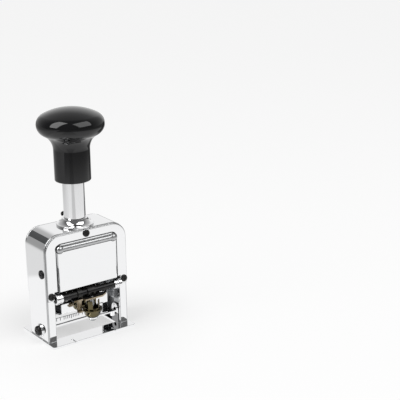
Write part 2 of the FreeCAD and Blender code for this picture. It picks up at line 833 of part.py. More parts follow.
plate = body_of("bracket_plate")
sketch = sketch_on(plate, "XY_Plane", plate_z[0])
outline(sketch, [
    ("-plate_left", "-plate_front"),
    ("plate_right", "-plate_front"),
    ("plate_point", "-(plate_front + plate_rear + plate_tip_width) / 2"),
    ("plate_point", "-(plate_front + plate_rear - plate_tip_width) / 2"),
    ("plate_right", "-plate_rear"),
    ("-plate_left", "-plate_rear"),
])
pad(plate, sketch, "strap_thickness")
ring = rod("X", "strap_radius", *strap_x, "-rod_depth", "rod_level")
neck = box(strap_x, ("-rod_depth - strap_wall", "-rod_depth + strap_wall"), (plate_z[0], "rod_level - rod_radius"))
stud_hole = rod("Z", "stud_radius + press_clearance", "dial_bottom", "rod_level", "dial_place", "-dial_depth")
keep(cut(fuse(ring, neck, plate), rod_hole(strap_x), stud_hole), "dial_bracket")
keep(rod("Z", "stud_radius", "stud_bottom", "strap_level + strap_wall / 2", "dial_place", "-dial_depth"), "dial_stud")

# Counting finger: a brass blade on the front rod with a toe at its foot and a wing beside it.

finger_x = ("finger_place - finger_half_width", "finger_place + finger_half_width")
ring = rod("X", "strap_radius", *finger_x, "-rod_depth", "rod_level")
blade = box(finger_x, ("-rod_depth - finger_thickness", "-rod_depth"), ("finger_bottom", "strap_level + strap_wall"))
toe = box(finger_x, ("-rod_depth - finger_toe", "-rod_depth"), ("finger_bottom", "finger_bottom + finger_thickness"))
wing = box(("-finger_plate_end", finger_x[1]), ("-rod_depth - finger_toe", "-plate_rear"), plate_z)
keep(cut(fuse(ring, blade, toe, wing), rod_hole(finger_x)), "count_finger")

# Latch: a sprung button that slides through the collar into a hole in the plunger.

pin = rod("Y", "latch_pin_radius", "tube_radius + latch_tip_gap", "latch_button_place", "0", "latch_level")
cap = rod("Y", "latch_button_radius", "latch_button_place", "latch_button_place + latch_button_length",
          "0", "latch_level")
keep(fuse(pin, cap), "latch_button")
keep(cut(rod("Y", "latch_spring_radius", "collar_foot_radius",
             "latch_button_place - latch_travel - side_play", "0", "latch_level"),
         rod("Y", "latch_pin_radius + running_clearance", "0", "latch_button_place", "0", "latch_level")),
     "latch_spring")

# Plunger tube: slotted for the crossbar and drilled for the latch at both ends of the stroke.

tube = body_of("plunger_tube")
sketch = sketch_on(tube, "XY_Plane", "tube_bottom")
circle(sketch, "0", "0", "tube_radius")
circle(sketch, "0", "0", "tube_inside")
pad(tube, sketch, "tube_top - tube_bottom")
sketch = sketch_on(tube, "YZ_Plane")
outline(sketch, [
    ("-slot_half", "slot_bottom + slot_half", "slot_half", 1),
    ("0", "slot_bottom", "slot_half", 1),
    ("slot_half", "slot_bottom + slot_half"),
    ("slot_half", "slot_top - slot_half", "slot_half", 1),
    ("0", "slot_top", "slot_half", 1),
    ("-slot_half", "slot_top - slot_half"),
])
pocket(tube, sketch, "2 * tube_radius + cut_overrun", both=True)
sketch = sketch_on(tube, "XZ_Plane", "-tube_radius - cut_overrun")
circle(sketch, "0", "latch_level", "latch_pin_radius + latch_hole_clearance")
circle(sketch, "0", "latch_level + stroke_length", "latch_pin_radius + latch_hole_clearance")
pocket(tube, sketch, "tube_radius + cut_overrun", back=True)
keep(tube, "plunger_tube")

# Knob: a mushroom turned about the plunger's axis, bored for the tube.

knob = body_of("knob")
sketch = sketch_on(knob, "XZ_Plane")
outline(sketch, [
    ("0", "tube_top + side_play"),
    ("tube_radius + press_clearance", "tube_top + side_play"),
    ("tube_radius + press_clearance", "knob_bottom"),
    ("knob_neck_radius - knob_rim", "knob_bottom", "knob_rim", 1),
    ("knob_neck_radius", "knob_bottom + knob_rim"),
    ("knob_neck_radius", "knob_neck_top", "knob_flare", -1),
    ("knob_low_edge", "knob_low_level", "knob_edge_low", 1),
    ("knob_radius", "knob_middle", "knob_edge_high", 1),
    ("knob_crown_edge", "knob_crown_level", "knob_crown", 1),
    ("0", "knob_top"),
])
revolve(knob, sketch, "Z_Axis")
keep(knob, "knob")

# Plug in the top of the tube that the return spring pushes against.

keep(fuse(rod("Z", "tube_inside - press_clearance", "plug_bottom", "tube_top"),
          rod("Z", "plug_seat_radius", "plug_bottom - plug_seat_length", "plug_bottom")), "knob_plug")

# Return spring, drawn as the sleeve that its coils fill.

keep(cut(rod("Z", "spring_radius", "seat_top", "plug_bottom"),
         rod("Z", "spring_radius - 2 * spring_wire", "seat_top - cut_overrun", "plug_bottom + cut_overrun")),
     "return_spring")

# Wheel carrier: two cheeks under a web, with a boss round the plunger tube.

carrier = body_of("wheel_carrier")
sketch = sketch_on(carrier, "YZ_Plane")
outline(sketch, [
    ("-cheek_half_depth", "axle_level", "cheek_half_depth", 1),
    ("0", "axle_level - cheek_half_depth", "cheek_half_depth", 1),
    ("cheek_half_depth", "axle_level"),
    ("cheek_half_depth", "web_top"),
    ("-cheek_half_depth", "web_top"),
])
pad(carrier, sketch, "2 * cheek_face", both=True)
sketch = sketch_on(carrier, "XZ_Plane")
rectangle(sketch, "-cheek_place", "cheek_place", "0", "web_bottom")
pocket(carrier, sketch, "4 * cheek_half_depth", both=True)
sketch = sketch_on(carrier, "XY_Plane", "boss_bottom")
circle(sketch, "0", "0", "boss_radius")
pad(carrier, sketch, "web_top - boss_bottom")
sketch = sketch_on(carrier, "XY_Plane", "boss_bottom - cut_overrun")
circle(sketch, "0", "0", "tube_radius + press_clearance")
pocket(carrier, sketch, "web_top - boss_bottom + 2 * cut_overrun", back=True)
sketch = sketch_on(carrier, "YZ_Plane")
circle(sketch, "0", "axle_level", "axle_radius + press_clearance")
circle(sketch, "tie_rod_depth", "tie_rod_level", "tie_rod_radius + press_clearance")
pocket(carrier, sketch, "2 * cheek_face + cut_overrun", both=True)
keep(carrier, "wheel_carrier")

# Guide shoes on the outside of the cheeks run in the rails.

keep(together(
    box(("cheek_face", "groove_floor - shoe_gap"), ("-shoe_half_depth", "shoe_half_depth"), ("shoe_bottom", "shoe_top")),
    box(("-groove_floor + shoe_gap", "-cheek_face"), ("-shoe_half_depth", "shoe_half_depth"),
        ("shoe_bottom", "shoe_top"))), "guide_shoes")

# Axle, its nuts, the tie rod and the detent comb.

keep(rod("X", "axle_radius", "-axle_end", "axle_end", "0", "axle_level"), "wheel_axle")


def axle_nut(side, turn):
    body = body_of("axle_nut")
    sketch = sketch_on(body, "XY_Plane")
    points = [(f"axle_nut_radius * cos({60 * index})", f"axle_nut_radius * sin({60 * index})") for index in range(6)]
    outline(sketch, points)
    circle(sketch, "0", "0", "axle_radius + press_clearance")
    pad(body, sketch, "axle_nut_thickness")
    return place(body, f"{side} * nut_place", "0", "axle_level", turn)


keep(together(axle_nut("-1", TO_LEFT), axle_nut("1", TO_RIGHT)), "axle_nuts")
keep(rod("X", "tie_rod_radius", "-cheek_face", "cheek_face", "tie_rod_depth", "tie_rod_level"), "carrier_tie_rod")

# Detent comb: a leaf with a finger over each wheel's ratchet lane.

comb = body_of("detent_comb")
comb_tip = "axle_level + wheel_radius + comb_gap"
lane_tip = "axle_level + ratchet_radius + comb_gap"
sketch = sketch_on(comb, "XZ_Plane", "comb_depth")
rectangle(sketch, "-yoke_place + side_play", "yoke_place - side_play", comb_tip, "boss_bottom - side_play")
pad(comb, sketch, "comb_thickness", both=True)
sketch = sketch_on(comb, "XZ_Plane", "comb_depth")
for index in range(6):
    lane = f"first_wheel_place + {index} * wheel_pitch + wheel_left + (drum_width + wheel_width) / 2"
    rectangle(sketch, f"{lane} - comb_finger_width / 2", f"{lane} + comb_finger_width / 2", lane_tip,
              f"{comb_tip} + comb_gap")
pad(comb, sketch, "comb_thickness", both=True)
sketch = sketch_on(comb, "XZ_Plane", "comb_depth")
for side in ("-1", "1"):
    outer = f"{side} * (yoke_place - side_play)"
    inner = f"{side} * (boss_radius + side_play)"
    left, right = (outer, inner) if side == "-1" else (inner, outer)
    rectangle(sketch, left, right, "boss_bottom - 2 * side_play", "web_bottom")
pad(comb, sketch, "comb_thickness", both=True)
keep(comb, "detent_comb")


# Number wheels: a drum with ten raised type faces and a ratchet lane on its right.

def ratchet_cut(body, radius, left, width):
    sketch = sketch_on(body, "YZ_Plane", left)
    outline(sketch, [
        (f"{radius} + cut_overrun", "0"),
        (f"{radius} + cut_overrun", "ratchet_lead"),
        (f"{radius} - ratchet_depth / 5", "ratchet_lead"),
        (f"{radius} - ratchet_depth", "0"),
    ])
    notch = pocket(body, sketch, width, back=True)
    around(body, notch, "X_Axis", 10)


def number_wheel(index):
    name = f"number_wheel_{index + 1}"
    body = body_of(name)
    sketch = sketch_on(body, "YZ_Plane", "wheel_left")
    circle(sketch, "0", "0", "drum_radius")
    pad(body, sketch, "drum_width")
    sketch = sketch_on(body, "YZ_Plane", "wheel_left + drum_width - press_clearance")
    circle(sketch, "0", "0", "ratchet_radius")
    pad(body, sketch, "wheel_width - drum_width + press_clearance")
    ratchet_cut(body, "ratchet_radius", "wheel_left + drum_width", "wheel_width")
    sketch = sketch_on(body, "YZ_Plane", "wheel_left + (drum_width - type_width) / 2")
    rectangle(sketch, "-type_length / 2", "type_length / 2", "-wheel_radius", "-drum_radius + type_rise")
    face = pad(body, sketch, "type_width")
    around(body, face, "X_Axis", 10)
    sketch = sketch_on(body, "YZ_Plane")
    circle(sketch, "0", "0", "wheel_bore")
    pocket(body, sketch, "2 * wheel_width", both=True)
    place(body, f"first_wheel_place + {index} * wheel_pitch", "0", "axle_level")
    keep(body, name)


for index in range(6):
    number_wheel(index)

# Repeat ratchet: the stepped wheel that counts how often a number is repeated.

repeat = body_of("repeat_ratchet")
sketch = sketch_on(repeat, "YZ_Plane", "repeat_left")
circle(sketch, "0", "0", "ratchet_radius")
pad(repeat, sketch, "repeat_disc_width")
ratchet_cut(repeat, "ratchet_radius", "repeat_left - cut_overrun", "repeat_disc_width + 2 * cut_overrun")
sketch = sketch_on(repeat, "YZ_Plane", "repeat_left")
circle(sketch, "0", "0", "repeat_hub_radius")
pad(repeat, sketch, "repeat_width")
sketch = sketch_on(repeat, "YZ_Plane")
circle(sketch, "0", "0", "wheel_bore")
pocket(repeat, sketch, "casing_width", both=True)
place(repeat, "0", "0", "axle_level")
keep(repeat, "repeat_ratchet")


# Spacers: thin washers between the wheels, and a bush inside each cheek between the pawl arms.

def spacer(start, stop):
    ring = rod("X", "spacer_radius", start, stop, "0", "axle_level")
    return cut(ring, rod("X", "axle_radius + press_clearance", f"{start} - cut_overrun", f"{stop} + cut_overrun",
                         "0", "axle_level"))


gaps = []
for index in range(5):
    middle = f"first_wheel_place + {index} * wheel_pitch + wheel_pitch / 2"
    gaps.append(spacer(f"{middle} - spacer_thickness / 2", f"{middle} + spacer_thickness / 2"))
gaps.append(spacer("repeat_left - side_play + press_clearance", "repeat_left - press_clearance"))
gaps.append(spacer("repeat_right + side_play / 2", "yoke_place - side_play / 2"))
gaps.append(spacer("-yoke_place + side_play / 2", "first_wheel_place + wheel_left - side_play / 2"))
keep(together(*gaps), "spacers")


# Pawl yoke: two arms on the axle joined by the bar that carries the feed pawl.

def arm_outline(sketch, eye, reach, width):
    """A bar from a round eye at the origin towards -Y, ending in a round tip."""
    outline(sketch, [
        (f"-({reach})", f"-({width}) / 2"),
        (f"-sqrt(({eye}) * ({eye}) - ({width}) * ({width}) / 4)", f"-({width}) / 2", eye, 1),
        (eye, "0", eye, 1),
        (f"-sqrt(({eye}) * ({eye}) - ({width}) * ({width}) / 4)", f"({width}) / 2"),
        (f"-({reach})", f"({width}) / 2", f"({width}) / 2", 1),
        (f"-({reach}) - ({width}) / 2", "0", f"({width}) / 2", 1),
    ])


def yoke_arm(side):
    body = body_of("yoke_arm")
    sketch = sketch_on(body, "YZ_Plane", f"{side} * (yoke_place + yoke_arm_thickness / 2)")
    arm_outline(sketch, "yoke_eye_radius", "yoke_reach", "yoke_arm_width")
    pad(body, sketch, "yoke_arm_thickness", both=True)
    sketch = sketch_on(body, "YZ_Plane")
    circle(sketch, "0", "0", "wheel_bore")
    pocket(body, sketch, "casing_width", both=True)
    return body


yoke = fuse(yoke_arm("-1"), yoke_arm("1"),
            rod("X", "yoke_bar_radius", "-yoke_place - yoke_arm_thickness", "yoke_place + yoke_arm_thickness",
                "-yoke_reach", "0"))
yoke.Placement = FreeCAD.Placement(FreeCAD.Vector(), FreeCAD.Rotation(FreeCAD.Vector(1, 0, 0), 0))
bind(yoke, "Placement.Rotation.Axis.x", "1")
bind(yoke, "Placement.Rotation.Axis.z", "0")
bind(yoke, "Placement.Rotation.Angle", "yoke_angle - 90")
bind(yoke, "Placement.Base.z", "axle_level")
keep(yoke, "pawl_yoke")

# Feed pawl: a brass bar on the yoke's rod with a tooth over each ratchet lane.

pawl_x = ("-yoke_place + side_play", "yoke_place - side_play")
sleeve = rod("X", "pawl_eye_radius", *pawl_x, "-yoke_reach", "0")
teeth = []
for index in range(6):
    lane = f"first_wheel_place + {index} * wheel_pitch + wheel_left + (drum_width + wheel_width) / 2"
    teeth.append(box((f"{lane} - pawl_tooth_width / 2", f"{lane} + pawl_tooth_width / 2"),
                     ("-yoke_reach", "-ratchet_radius - pawl_tip_gap"),
                     ("-pawl_tooth_width", "pawl_tooth_width")))
pawl = cut(fuse(sleeve, *teeth),
           rod("X", "yoke_bar_radius + press_clearance", f"{pawl_x[0]} - cut_overrun", f"{pawl_x[1]} + cut_overrun",
               "-yoke_reach", "0"))
bind(pawl, "Placement.Rotation.Axis.x", "1")
bind(pawl, "Placement.Rotation.Axis.z", "0")
bind(pawl, "Placement.Rotation.Angle", "yoke_angle - 90")
bind(pawl, "Placement.Base.z", "axle_level")
keep(pawl, "feed_pawl")

# Pad tray: a trough round the underside of the wheels, its shell centred on the axle.

tray = body_of("pad_tray")
sketch = sketch_on(tray, "YZ_Plane")
drop = "sqrt(pad_outer_radius * pad_outer_radius - pad_half_depth * pad_half_depth)"
inner_drop = ("sqrt(shell_inside * shell_inside"
              " - (pad_half_depth - pad_shell) * (pad_half_depth - pad_shell))")
rim = ("sqrt(wheel_radius * wheel_radius"
       " - (pad_half_depth - pad_shell) * (pad_half_depth - pad_shell)) + pad_gap")
outline(sketch, [
    ("-pad_half_depth", f"-({rim})"),
    ("-pad_half_depth", f"-{drop}", "pad_outer_radius", 1),
    ("pad_half_depth", f"-{drop}"),
    ("pad_half_depth", f"-({rim})"),
    ("pad_half_depth - pad_shell", f"-({rim})"),
    ("pad_half_depth - pad_shell", f"-{inner_drop}", "shell_inside", -1),
    ("-pad_half_depth + pad_shell", f"-{inner_drop}"),
    ("-pad_half_depth + pad_shell", f"-({rim})"),
])
pad(tray, sketch, "2 * pad_half_width", both=True)
place(tray, "0", "0", "axle_level")
keep(tray, "pad_tray")

# Ink pad: felt in the tray, hollowed to the wheels.

felt = body_of("ink_pad")
sketch = sketch_on(felt, "YZ_Plane")
felt_half = "(pad_half_depth - pad_shell - felt_gap)"
felt_drop = f"sqrt((shell_inside - felt_gap) * (shell_inside - felt_gap) - {felt_half} * {felt_half})"
felt_rim = f"sqrt(felt_radius * felt_radius - {felt_half} * {felt_half})"
outline(sketch, [
    (f"-{felt_half}", f"-{felt_rim}"),
    (f"-{felt_half}", f"-{felt_drop}", "shell_inside - felt_gap", 1),
    (felt_half, f"-{felt_drop}"),
    (felt_half, f"-{felt_rim}", "felt_radius", -1),
])
pad(felt, sketch, "2 * (pad_half_width - pad_shell)", both=True)
place(felt, "0", "0", "axle_level")
keep(felt, "ink_pad")

# Pad carrier: an arm on each end of the axle, joined under the tray.


def pad_arm(side):
    body = body_of("pad_arm")
    sketch = sketch_on(body, "YZ_Plane", f"{side} * (pad_arm_place + pad_arm_thickness / 2)")
    half = "pad_arm_width / 2"
    shoulder = f"sqrt(pad_eye_radius * pad_eye_radius - {half} * {half})"
    foot = f"sqrt(pad_outer_radius * pad_outer_radius - {half} * {half})"
    outline(sketch, [
        (f"-{half}", f"-{foot}", "pad_outer_radius", 1),
        (half, f"-{foot}"),
        (half, f"-{shoulder}", "pad_eye_radius", 1),
        ("0", "pad_eye_radius", "pad_eye_radius", 1),
        (f"-{half}", f"-{shoulder}"),
    ])
    pad(body, sketch, "pad_arm_thickness", both=True)
    start, stop = (("pad_half_width", "pad_arm_face") if side == "1" else ("-pad_arm_face", "-pad_half_width"))
    sketch = sketch_on(body, "YZ_Plane", start)
    inner_foot = f"sqrt(shell_inside * shell_inside - {half} * {half})"
    outline(sketch, [
        (f"-{half}", f"-{foot}", "pad_outer_radius", 1),
        (half, f"-{foot}"),
        (half, f"-{inner_foot}", "shell_inside", -1),
        (f"-{half}", f"-{inner_foot}"),
    ])
    pad(body, sketch, f"{stop} - ({start})")
    sketch = sketch_on(body, "YZ_Plane")
    circle(sketch, "0", "0", "wheel_bore")
    pocket(body, sketch, "casing_width", both=True)
    return place(body, "0", "0", "axle_level")


keep(together(pad_arm("-1"), pad_arm("1")), "pad_carrier")

# Repeat dial: a brass bowl with a rim and four posts that stand between its windows.

dial = body_of("repeat_dial")
sketch = sketch_on(dial, "XZ_Plane")
outline(sketch, [
    ("stud_radius + running_clearance", "dial_bottom"),
    ("dial_foot_radius", "dial_bottom", "dial_bowl_curve", 1),
    ("dial_bowl_radius", "dial_bowl_level"),
    ("dial_rim_radius", "dial_rim_level"),
    ("dial_rim_radius", "dial_rim_level + dial_rim_thickness"),
    ("dial_radius", "dial_rim_level + dial_rim_thickness"),
    ("dial_radius", "dial_top"),
    ("dial_radius - dial_wall", "dial_top"),
    ("dial_radius - dial_wall", "dial_bowl_level"),
    ("dial_foot_radius", "dial_bottom + dial_floor"),
    ("stud_radius + running_clearance", "dial_bottom + dial_floor"),
])
revolve(dial, sketch, "Z_Axis")
sketch = sketch_on(dial, "XZ_Plane")
rectangle(sketch, "-dial_slot_width / 2", "dial_slot_width / 2", "dial_slot_bottom", "dial_top + cut_overrun")
slot = pocket(dial, sketch, "2 * dial_radius + cut_overrun", both=True)
around(dial, slot, "Z_Axis", 4)
place(dial, "dial_place", "-dial_depth", "0")
keep(dial, "repeat_dial")

# Dial lever under the cup, with a finger knob at its end, and the nut below it.

lever = body_of("dial_lever")
sketch = sketch_on(lever, "XY_Plane", "dial_bottom - lever_thickness - press_clearance")
eye = "(dial_nut_radius + lever_thickness)"
neck = f"sqrt({eye} * {eye} - lever_width * lever_width / 4)"
outline(sketch, [
    ("lever_length", "lever_width / 2"),
    (neck, "lever_width / 2", eye, 1),
    (f"-{eye}", "0", eye, 1),
    (neck, "-lever_width / 2"),
    ("lever_length", "-lever_width / 2", "lever_width / 2", 1),
    ("lever_length + lever_width / 2", "0", "lever_width / 2", 1),
])
circle(sketch, "0", "0", "stud_radius + running_clearance")
pad(lever, sketch, "lever_thickness")
sketch = sketch_on(lever, "XY_Plane", "dial_bottom - lever_thickness - lever_knob_height")
circle(sketch, "lever_length - lever_knob_radius", "0", "lever_knob_radius")
pad(lever, sketch, "lever_knob_height")
place(lever, "dial_place", "-dial_depth", "0")
keep(lever, "dial_lever")
nut_top = "dial_bottom - lever_thickness - press_clearance - side_play"
keep(cut(rod("Z", "dial_nut_radius", f"{nut_top} - dial_nut_thickness", nut_top, "dial_place", "-dial_depth"),
         rod("Z", "stud_radius + press_clearance", "0", "dial_top", "dial_place", "-dial_depth")), "dial_nut")

doc.recompute()

for item in doc.Objects:
    if "Invalid" in item.State or "Error" in item.State:
        raise RuntimeError(f"{item.Label} did not build: {item.State}")
for item in kept:
    if item.Shape.isNull() or not item.Shape.isValid():
        raise RuntimeError(f"{item.Label} has no valid shape")
    item.Shape.exportStep(f"parts/{item.Label}.step")
    print(f"{item.Label}: {len(item.Shape.Solids)} solid(s), {item.Shape.Volume:.1f} mm3")
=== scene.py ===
import bpy
import bmesh
import json
import math
from mathutils import Euler, Matrix, Vector

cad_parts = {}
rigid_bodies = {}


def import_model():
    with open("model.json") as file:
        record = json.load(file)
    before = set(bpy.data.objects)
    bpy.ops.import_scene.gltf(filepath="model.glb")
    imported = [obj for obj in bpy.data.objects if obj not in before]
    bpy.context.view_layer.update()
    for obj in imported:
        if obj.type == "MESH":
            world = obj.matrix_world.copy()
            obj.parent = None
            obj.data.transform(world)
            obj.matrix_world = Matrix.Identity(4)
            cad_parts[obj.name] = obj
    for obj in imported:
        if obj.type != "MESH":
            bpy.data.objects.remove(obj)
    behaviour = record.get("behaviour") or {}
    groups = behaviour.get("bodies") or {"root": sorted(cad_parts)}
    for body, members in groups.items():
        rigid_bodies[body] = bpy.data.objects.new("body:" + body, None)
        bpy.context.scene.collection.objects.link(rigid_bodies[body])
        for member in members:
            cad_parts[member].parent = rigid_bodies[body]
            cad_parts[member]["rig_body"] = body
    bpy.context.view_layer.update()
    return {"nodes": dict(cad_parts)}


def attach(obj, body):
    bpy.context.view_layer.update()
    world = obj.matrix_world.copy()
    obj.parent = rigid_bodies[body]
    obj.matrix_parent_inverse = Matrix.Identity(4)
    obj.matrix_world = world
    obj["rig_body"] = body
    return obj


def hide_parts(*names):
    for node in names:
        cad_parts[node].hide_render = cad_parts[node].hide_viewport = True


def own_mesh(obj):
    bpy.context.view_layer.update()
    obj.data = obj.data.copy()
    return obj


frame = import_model()
nodes = frame["nodes"]

# Casing. A strip of sheet steel bent into an arch, with the flanges that carry the two covers
# turned in along its front and rear, then polished and chromed. Two round lugs are spot welded
# inside the front legs for the cross rod.

mm = 0.001
CASING_HALF = 33.0
CASING_FACE = 13.5
CASING_TOP = 80.0
CASING_CORNER = 12.0
CASING_WALL = 2.0
FLANGE_WIDTH = 6.4
PLATE_TOP = 1.6
ROD_DEPTH = -13.9
ROD_LEVEL = 33.2
UPRIGHT = (0, 0, 0)
TO_FRONT = (math.pi / 2, 0, 0)
TO_REAR = (-math.pi / 2, 0, 0)
TO_LEFT = (0, -math.pi / 2, 0)
TO_RIGHT = (0, math.pi / 2, 0)


def lay_down():
    """Leave edit mode with nothing selected."""
    if bpy.context.object and bpy.context.object.mode == "EDIT":
        bpy.ops.object.mode_set(mode="OBJECT")
    bpy.ops.object.select_all(action="DESELECT")


def pick_up(piece):
    """Select one piece and make it the active one."""
    lay_down()
    piece.select_set(True)
    bpy.context.view_layer.objects.active = piece
    return piece


def block(name, x, y, z):
    """A block of stock between limits in mm."""
    lay_down()
    bpy.ops.mesh.primitive_cube_add(size=1, location=[(a + b) / 2 * mm for a, b in (x, y, z)],
                                    scale=[(b - a) * mm for a, b in (x, y, z)])
    bpy.ops.object.transform_apply(location=True, rotation=True, scale=True)
    bpy.context.object.name = name
    return bpy.context.object


def choose(piece, kind, test):
    """Open the piece and select its points, edges or faces whose middle, in mm, passes the test."""
    pick_up(piece)
    bpy.ops.object.mode_set(mode="EDIT")
    bpy.ops.mesh.select_mode(type=kind)
    bpy.ops.mesh.select_all(action="DESELECT")
    mesh = bmesh.from_edit_mesh(piece.data)
    group = {"VERT": mesh.verts, "EDGE": mesh.edges, "FACE": mesh.faces}[kind]
    for item in group:
        if kind == "VERT":
            middle = item.co
        else:
            middle = sum((point.co for point in item.verts), Vector()) / len(item.verts)
        if test(middle / mm, item):
            item.select_set(True)
    mesh.select_flush_mode()
    bmesh.update_edit_mesh(piece.data)


def round_corners(piece, radius, segments, test):
    """Round the edges that pass the test."""
    choose(piece, "EDGE", test)
    bpy.ops.mesh.bevel(offset=radius * mm, segments=segments, affect="EDGES", clamp_overlap=False)
    lay_down()


def along(edge, axis):
    """Whether an edge runs along an axis, 0 for x to 2 for z."""
    way = (edge.verts[1].co - edge.verts[0].co).normalized()
    return abs(way[axis]) > 0.99


def combine(piece, tool, how):
    """Cut a tool out of a piece, or weld it on."""
    change = piece.modifiers.new("change", "BOOLEAN")
    change.operation = how
    change.solver = "EXACT"
    change.object = tool
    pick_up(piece)
    bpy.ops.object.modifier_apply(modifier=change.name)
    bpy.data.objects.remove(tool)
    return piece


def turned(name, profile, at=(0, 0, 0), turn=UPRIGHT, steps=96):
    """A piece turned on a lathe from points of (radius, height) in mm, then laid in its place."""
    lay_down()
    bpy.ops.mesh.primitive_plane_add(size=1)
    bpy.ops.object.mode_set(mode="EDIT")
    bpy.ops.mesh.select_mode(type="VERT")
    bpy.ops.mesh.merge(type="CENTER")
    bpy.ops.transform.translate(value=(profile[0][0] * mm, 0, profile[0][1] * mm))
    for before, after in zip(profile, profile[1:]):
        step = ((after[0] - before[0]) * mm, 0, (after[1] - before[1]) * mm)
        bpy.ops.mesh.extrude_vertices_move(TRANSFORM_OT_translate={"value": step})
    bpy.ops.mesh.select_all(action="SELECT")
    bpy.ops.mesh.spin(steps=steps, angle=2 * math.pi, center=(0, 0, 0), axis=(0, 0, 1))
    bpy.ops.mesh.select_all(action="SELECT")
    bpy.ops.mesh.remove_doubles(threshold=0.001 * mm)
    bpy.ops.mesh.normals_make_consistent(inside=False)
    bpy.ops.object.mode_set(mode="OBJECT")
    piece = bpy.context.object
    piece.name = name
    return moved(piece, at, turn)


def moved(piece, at, turn=UPRIGHT):
    """Turn a piece about the origin and carry it to its place in mm."""
    pick_up(piece)
    piece.rotation_euler = turn
    piece.location = [value * mm for value in at]
    bpy.ops.object.transform_apply(location=True, rotation=True, scale=True)
    return piece


def another(piece, at, turn=UPRIGHT):
    """A second piece like the first, with its own mesh."""
    fresh = piece.copy()
    fresh.data = piece.data.copy()
    bpy.context.scene.collection.objects.link(fresh)
    return moved(fresh, at, turn)


def joined(name, pieces):
    """Several like pieces as one object."""
    lay_down()
    for piece in pieces:
        piece.select_set(True)
    bpy.context.view_layer.objects.active = pieces[0]
    bpy.ops.object.join()
    pieces[0].name = name
    return pieces[0]


def finish(piece, node, material, edge=0.2, segments=2, sharp=30):
    """Break the edges of a piece, dress it and let it stand for its CAD node."""
    pick_up(piece)
    bpy.ops.object.shade_smooth()
    if edge:
        broken = piece.modifiers.new("broken_edges", "BEVEL")
        broken.width = edge * mm
        broken.segments = segments
        broken.limit_method = "ANGLE"
        broken.angle_limit = math.radians(sharp)
        bpy.ops.object.modifier_apply(modifier=broken.name)
    level = piece.modifiers.new("level_faces", "WEIGHTED_NORMAL")
    bpy.ops.object.modifier_apply(modifier=level.name)
    piece.data.materials.clear()
    piece.data.materials.append(material)
    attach(piece, nodes[node]["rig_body"])
    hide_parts(node)
    lay_down()
    return piece


def refinish(piece, material, test):
    """Give the faces that pass the test a second material: a real finish, painted shade or a painted dimmer
    reflection.
    """
    piece.data.materials.append(material)
    choose(piece, "FACE", test)
    piece.active_material_index = len(piece.data.materials) - 1
    bpy.ops.object.material_slot_assign()
    lay_down()


def handling_marks():
    """Smears in the gloss, hairline scratches and the faint waves of a polishing wheel."""
    group = bpy.data.node_groups.new("handling_marks", "ShaderNodeTree")
    for name, value in (("Scale", 60.0), ("Lowest Roughness", 0.03), ("Highest Roughness", 0.09),
                        ("Scratch Depth", 0.0001 * mm), ("Wave Height", 0.0)):
        socket = group.interface.new_socket(name, in_out="INPUT", socket_type="NodeSocketFloat")
        socket.default_value = value
    for name in ("Roughness", "Mask"):
        group.interface.new_socket(name, in_out="OUTPUT", socket_type="NodeSocketFloat")
    group.interface.new_socket("Normal", in_out="OUTPUT", socket_type="NodeSocketVector")
    add, link = group.nodes.new, group.links.new
    given, result = add("NodeGroupInput"), add("NodeGroupOutput")
    place = add("ShaderNodeTexCoord")
    smears = add("ShaderNodeTexNoise")
    smears.inputs["Detail"].default_value = 5.0
    smears.inputs["Distortion"].default_value = 0.6
    link(place.outputs["Object"], smears.inputs["Vector"])
    link(given.outputs["Scale"], smears.inputs["Scale"])
    gloss = add("ShaderNodeMapRange")
    gloss.inputs["From Min"].default_value = 0.35
    gloss.inputs["From Max"].default_value = 0.7
    link(smears.outputs["Fac"], gloss.inputs["Value"])
    link(given.outputs["Lowest Roughness"], gloss.inputs["To Min"])
    link(given.outputs["Highest Roughness"], gloss.inputs["To Max"])
    link(gloss.outputs["Result"], result.inputs["Roughness"])
    link(smears.outputs["Fac"], result.inputs["Mask"])
    waves = add("ShaderNodeTexNoise")
    waves.inputs["Scale"].default_value = 75.0
    waves.inputs["Detail"].default_value = 1.0
    link(place.outputs["Object"], waves.inputs["Vector"])
    wavy = add("ShaderNodeBump")
    link(given.outputs["Wave Height"], wavy.inputs["Distance"])
    link(waves.outputs["Fac"], wavy.inputs["Height"])
    stretch = add("ShaderNodeMapping")
    stretch.inputs["Scale"].default_value = (900.0, 900.0, 40.0)
    stretch.inputs["Rotation"].default_value = (0.3, 0.5, 0.0)
    link(place.outputs["Object"], stretch.inputs["Vector"])
    hairs = add("ShaderNodeTexNoise")
    hairs.inputs["Scale"].default_value = 1.0
    hairs.inputs["Detail"].default_value = 3.0
    link(stretch.outputs["Vector"], hairs.inputs["Vector"])
    scored = add("ShaderNodeBump")
    link(given.outputs["Scratch Depth"], scored.inputs["Distance"])
    link(hairs.outputs["Fac"], scored.inputs["Height"])
    link(wavy.outputs["Normal"], scored.inputs["Normal"])
    link(scored.outputs["Normal"], result.inputs["Normal"])
    return group


marks_group = handling_marks()


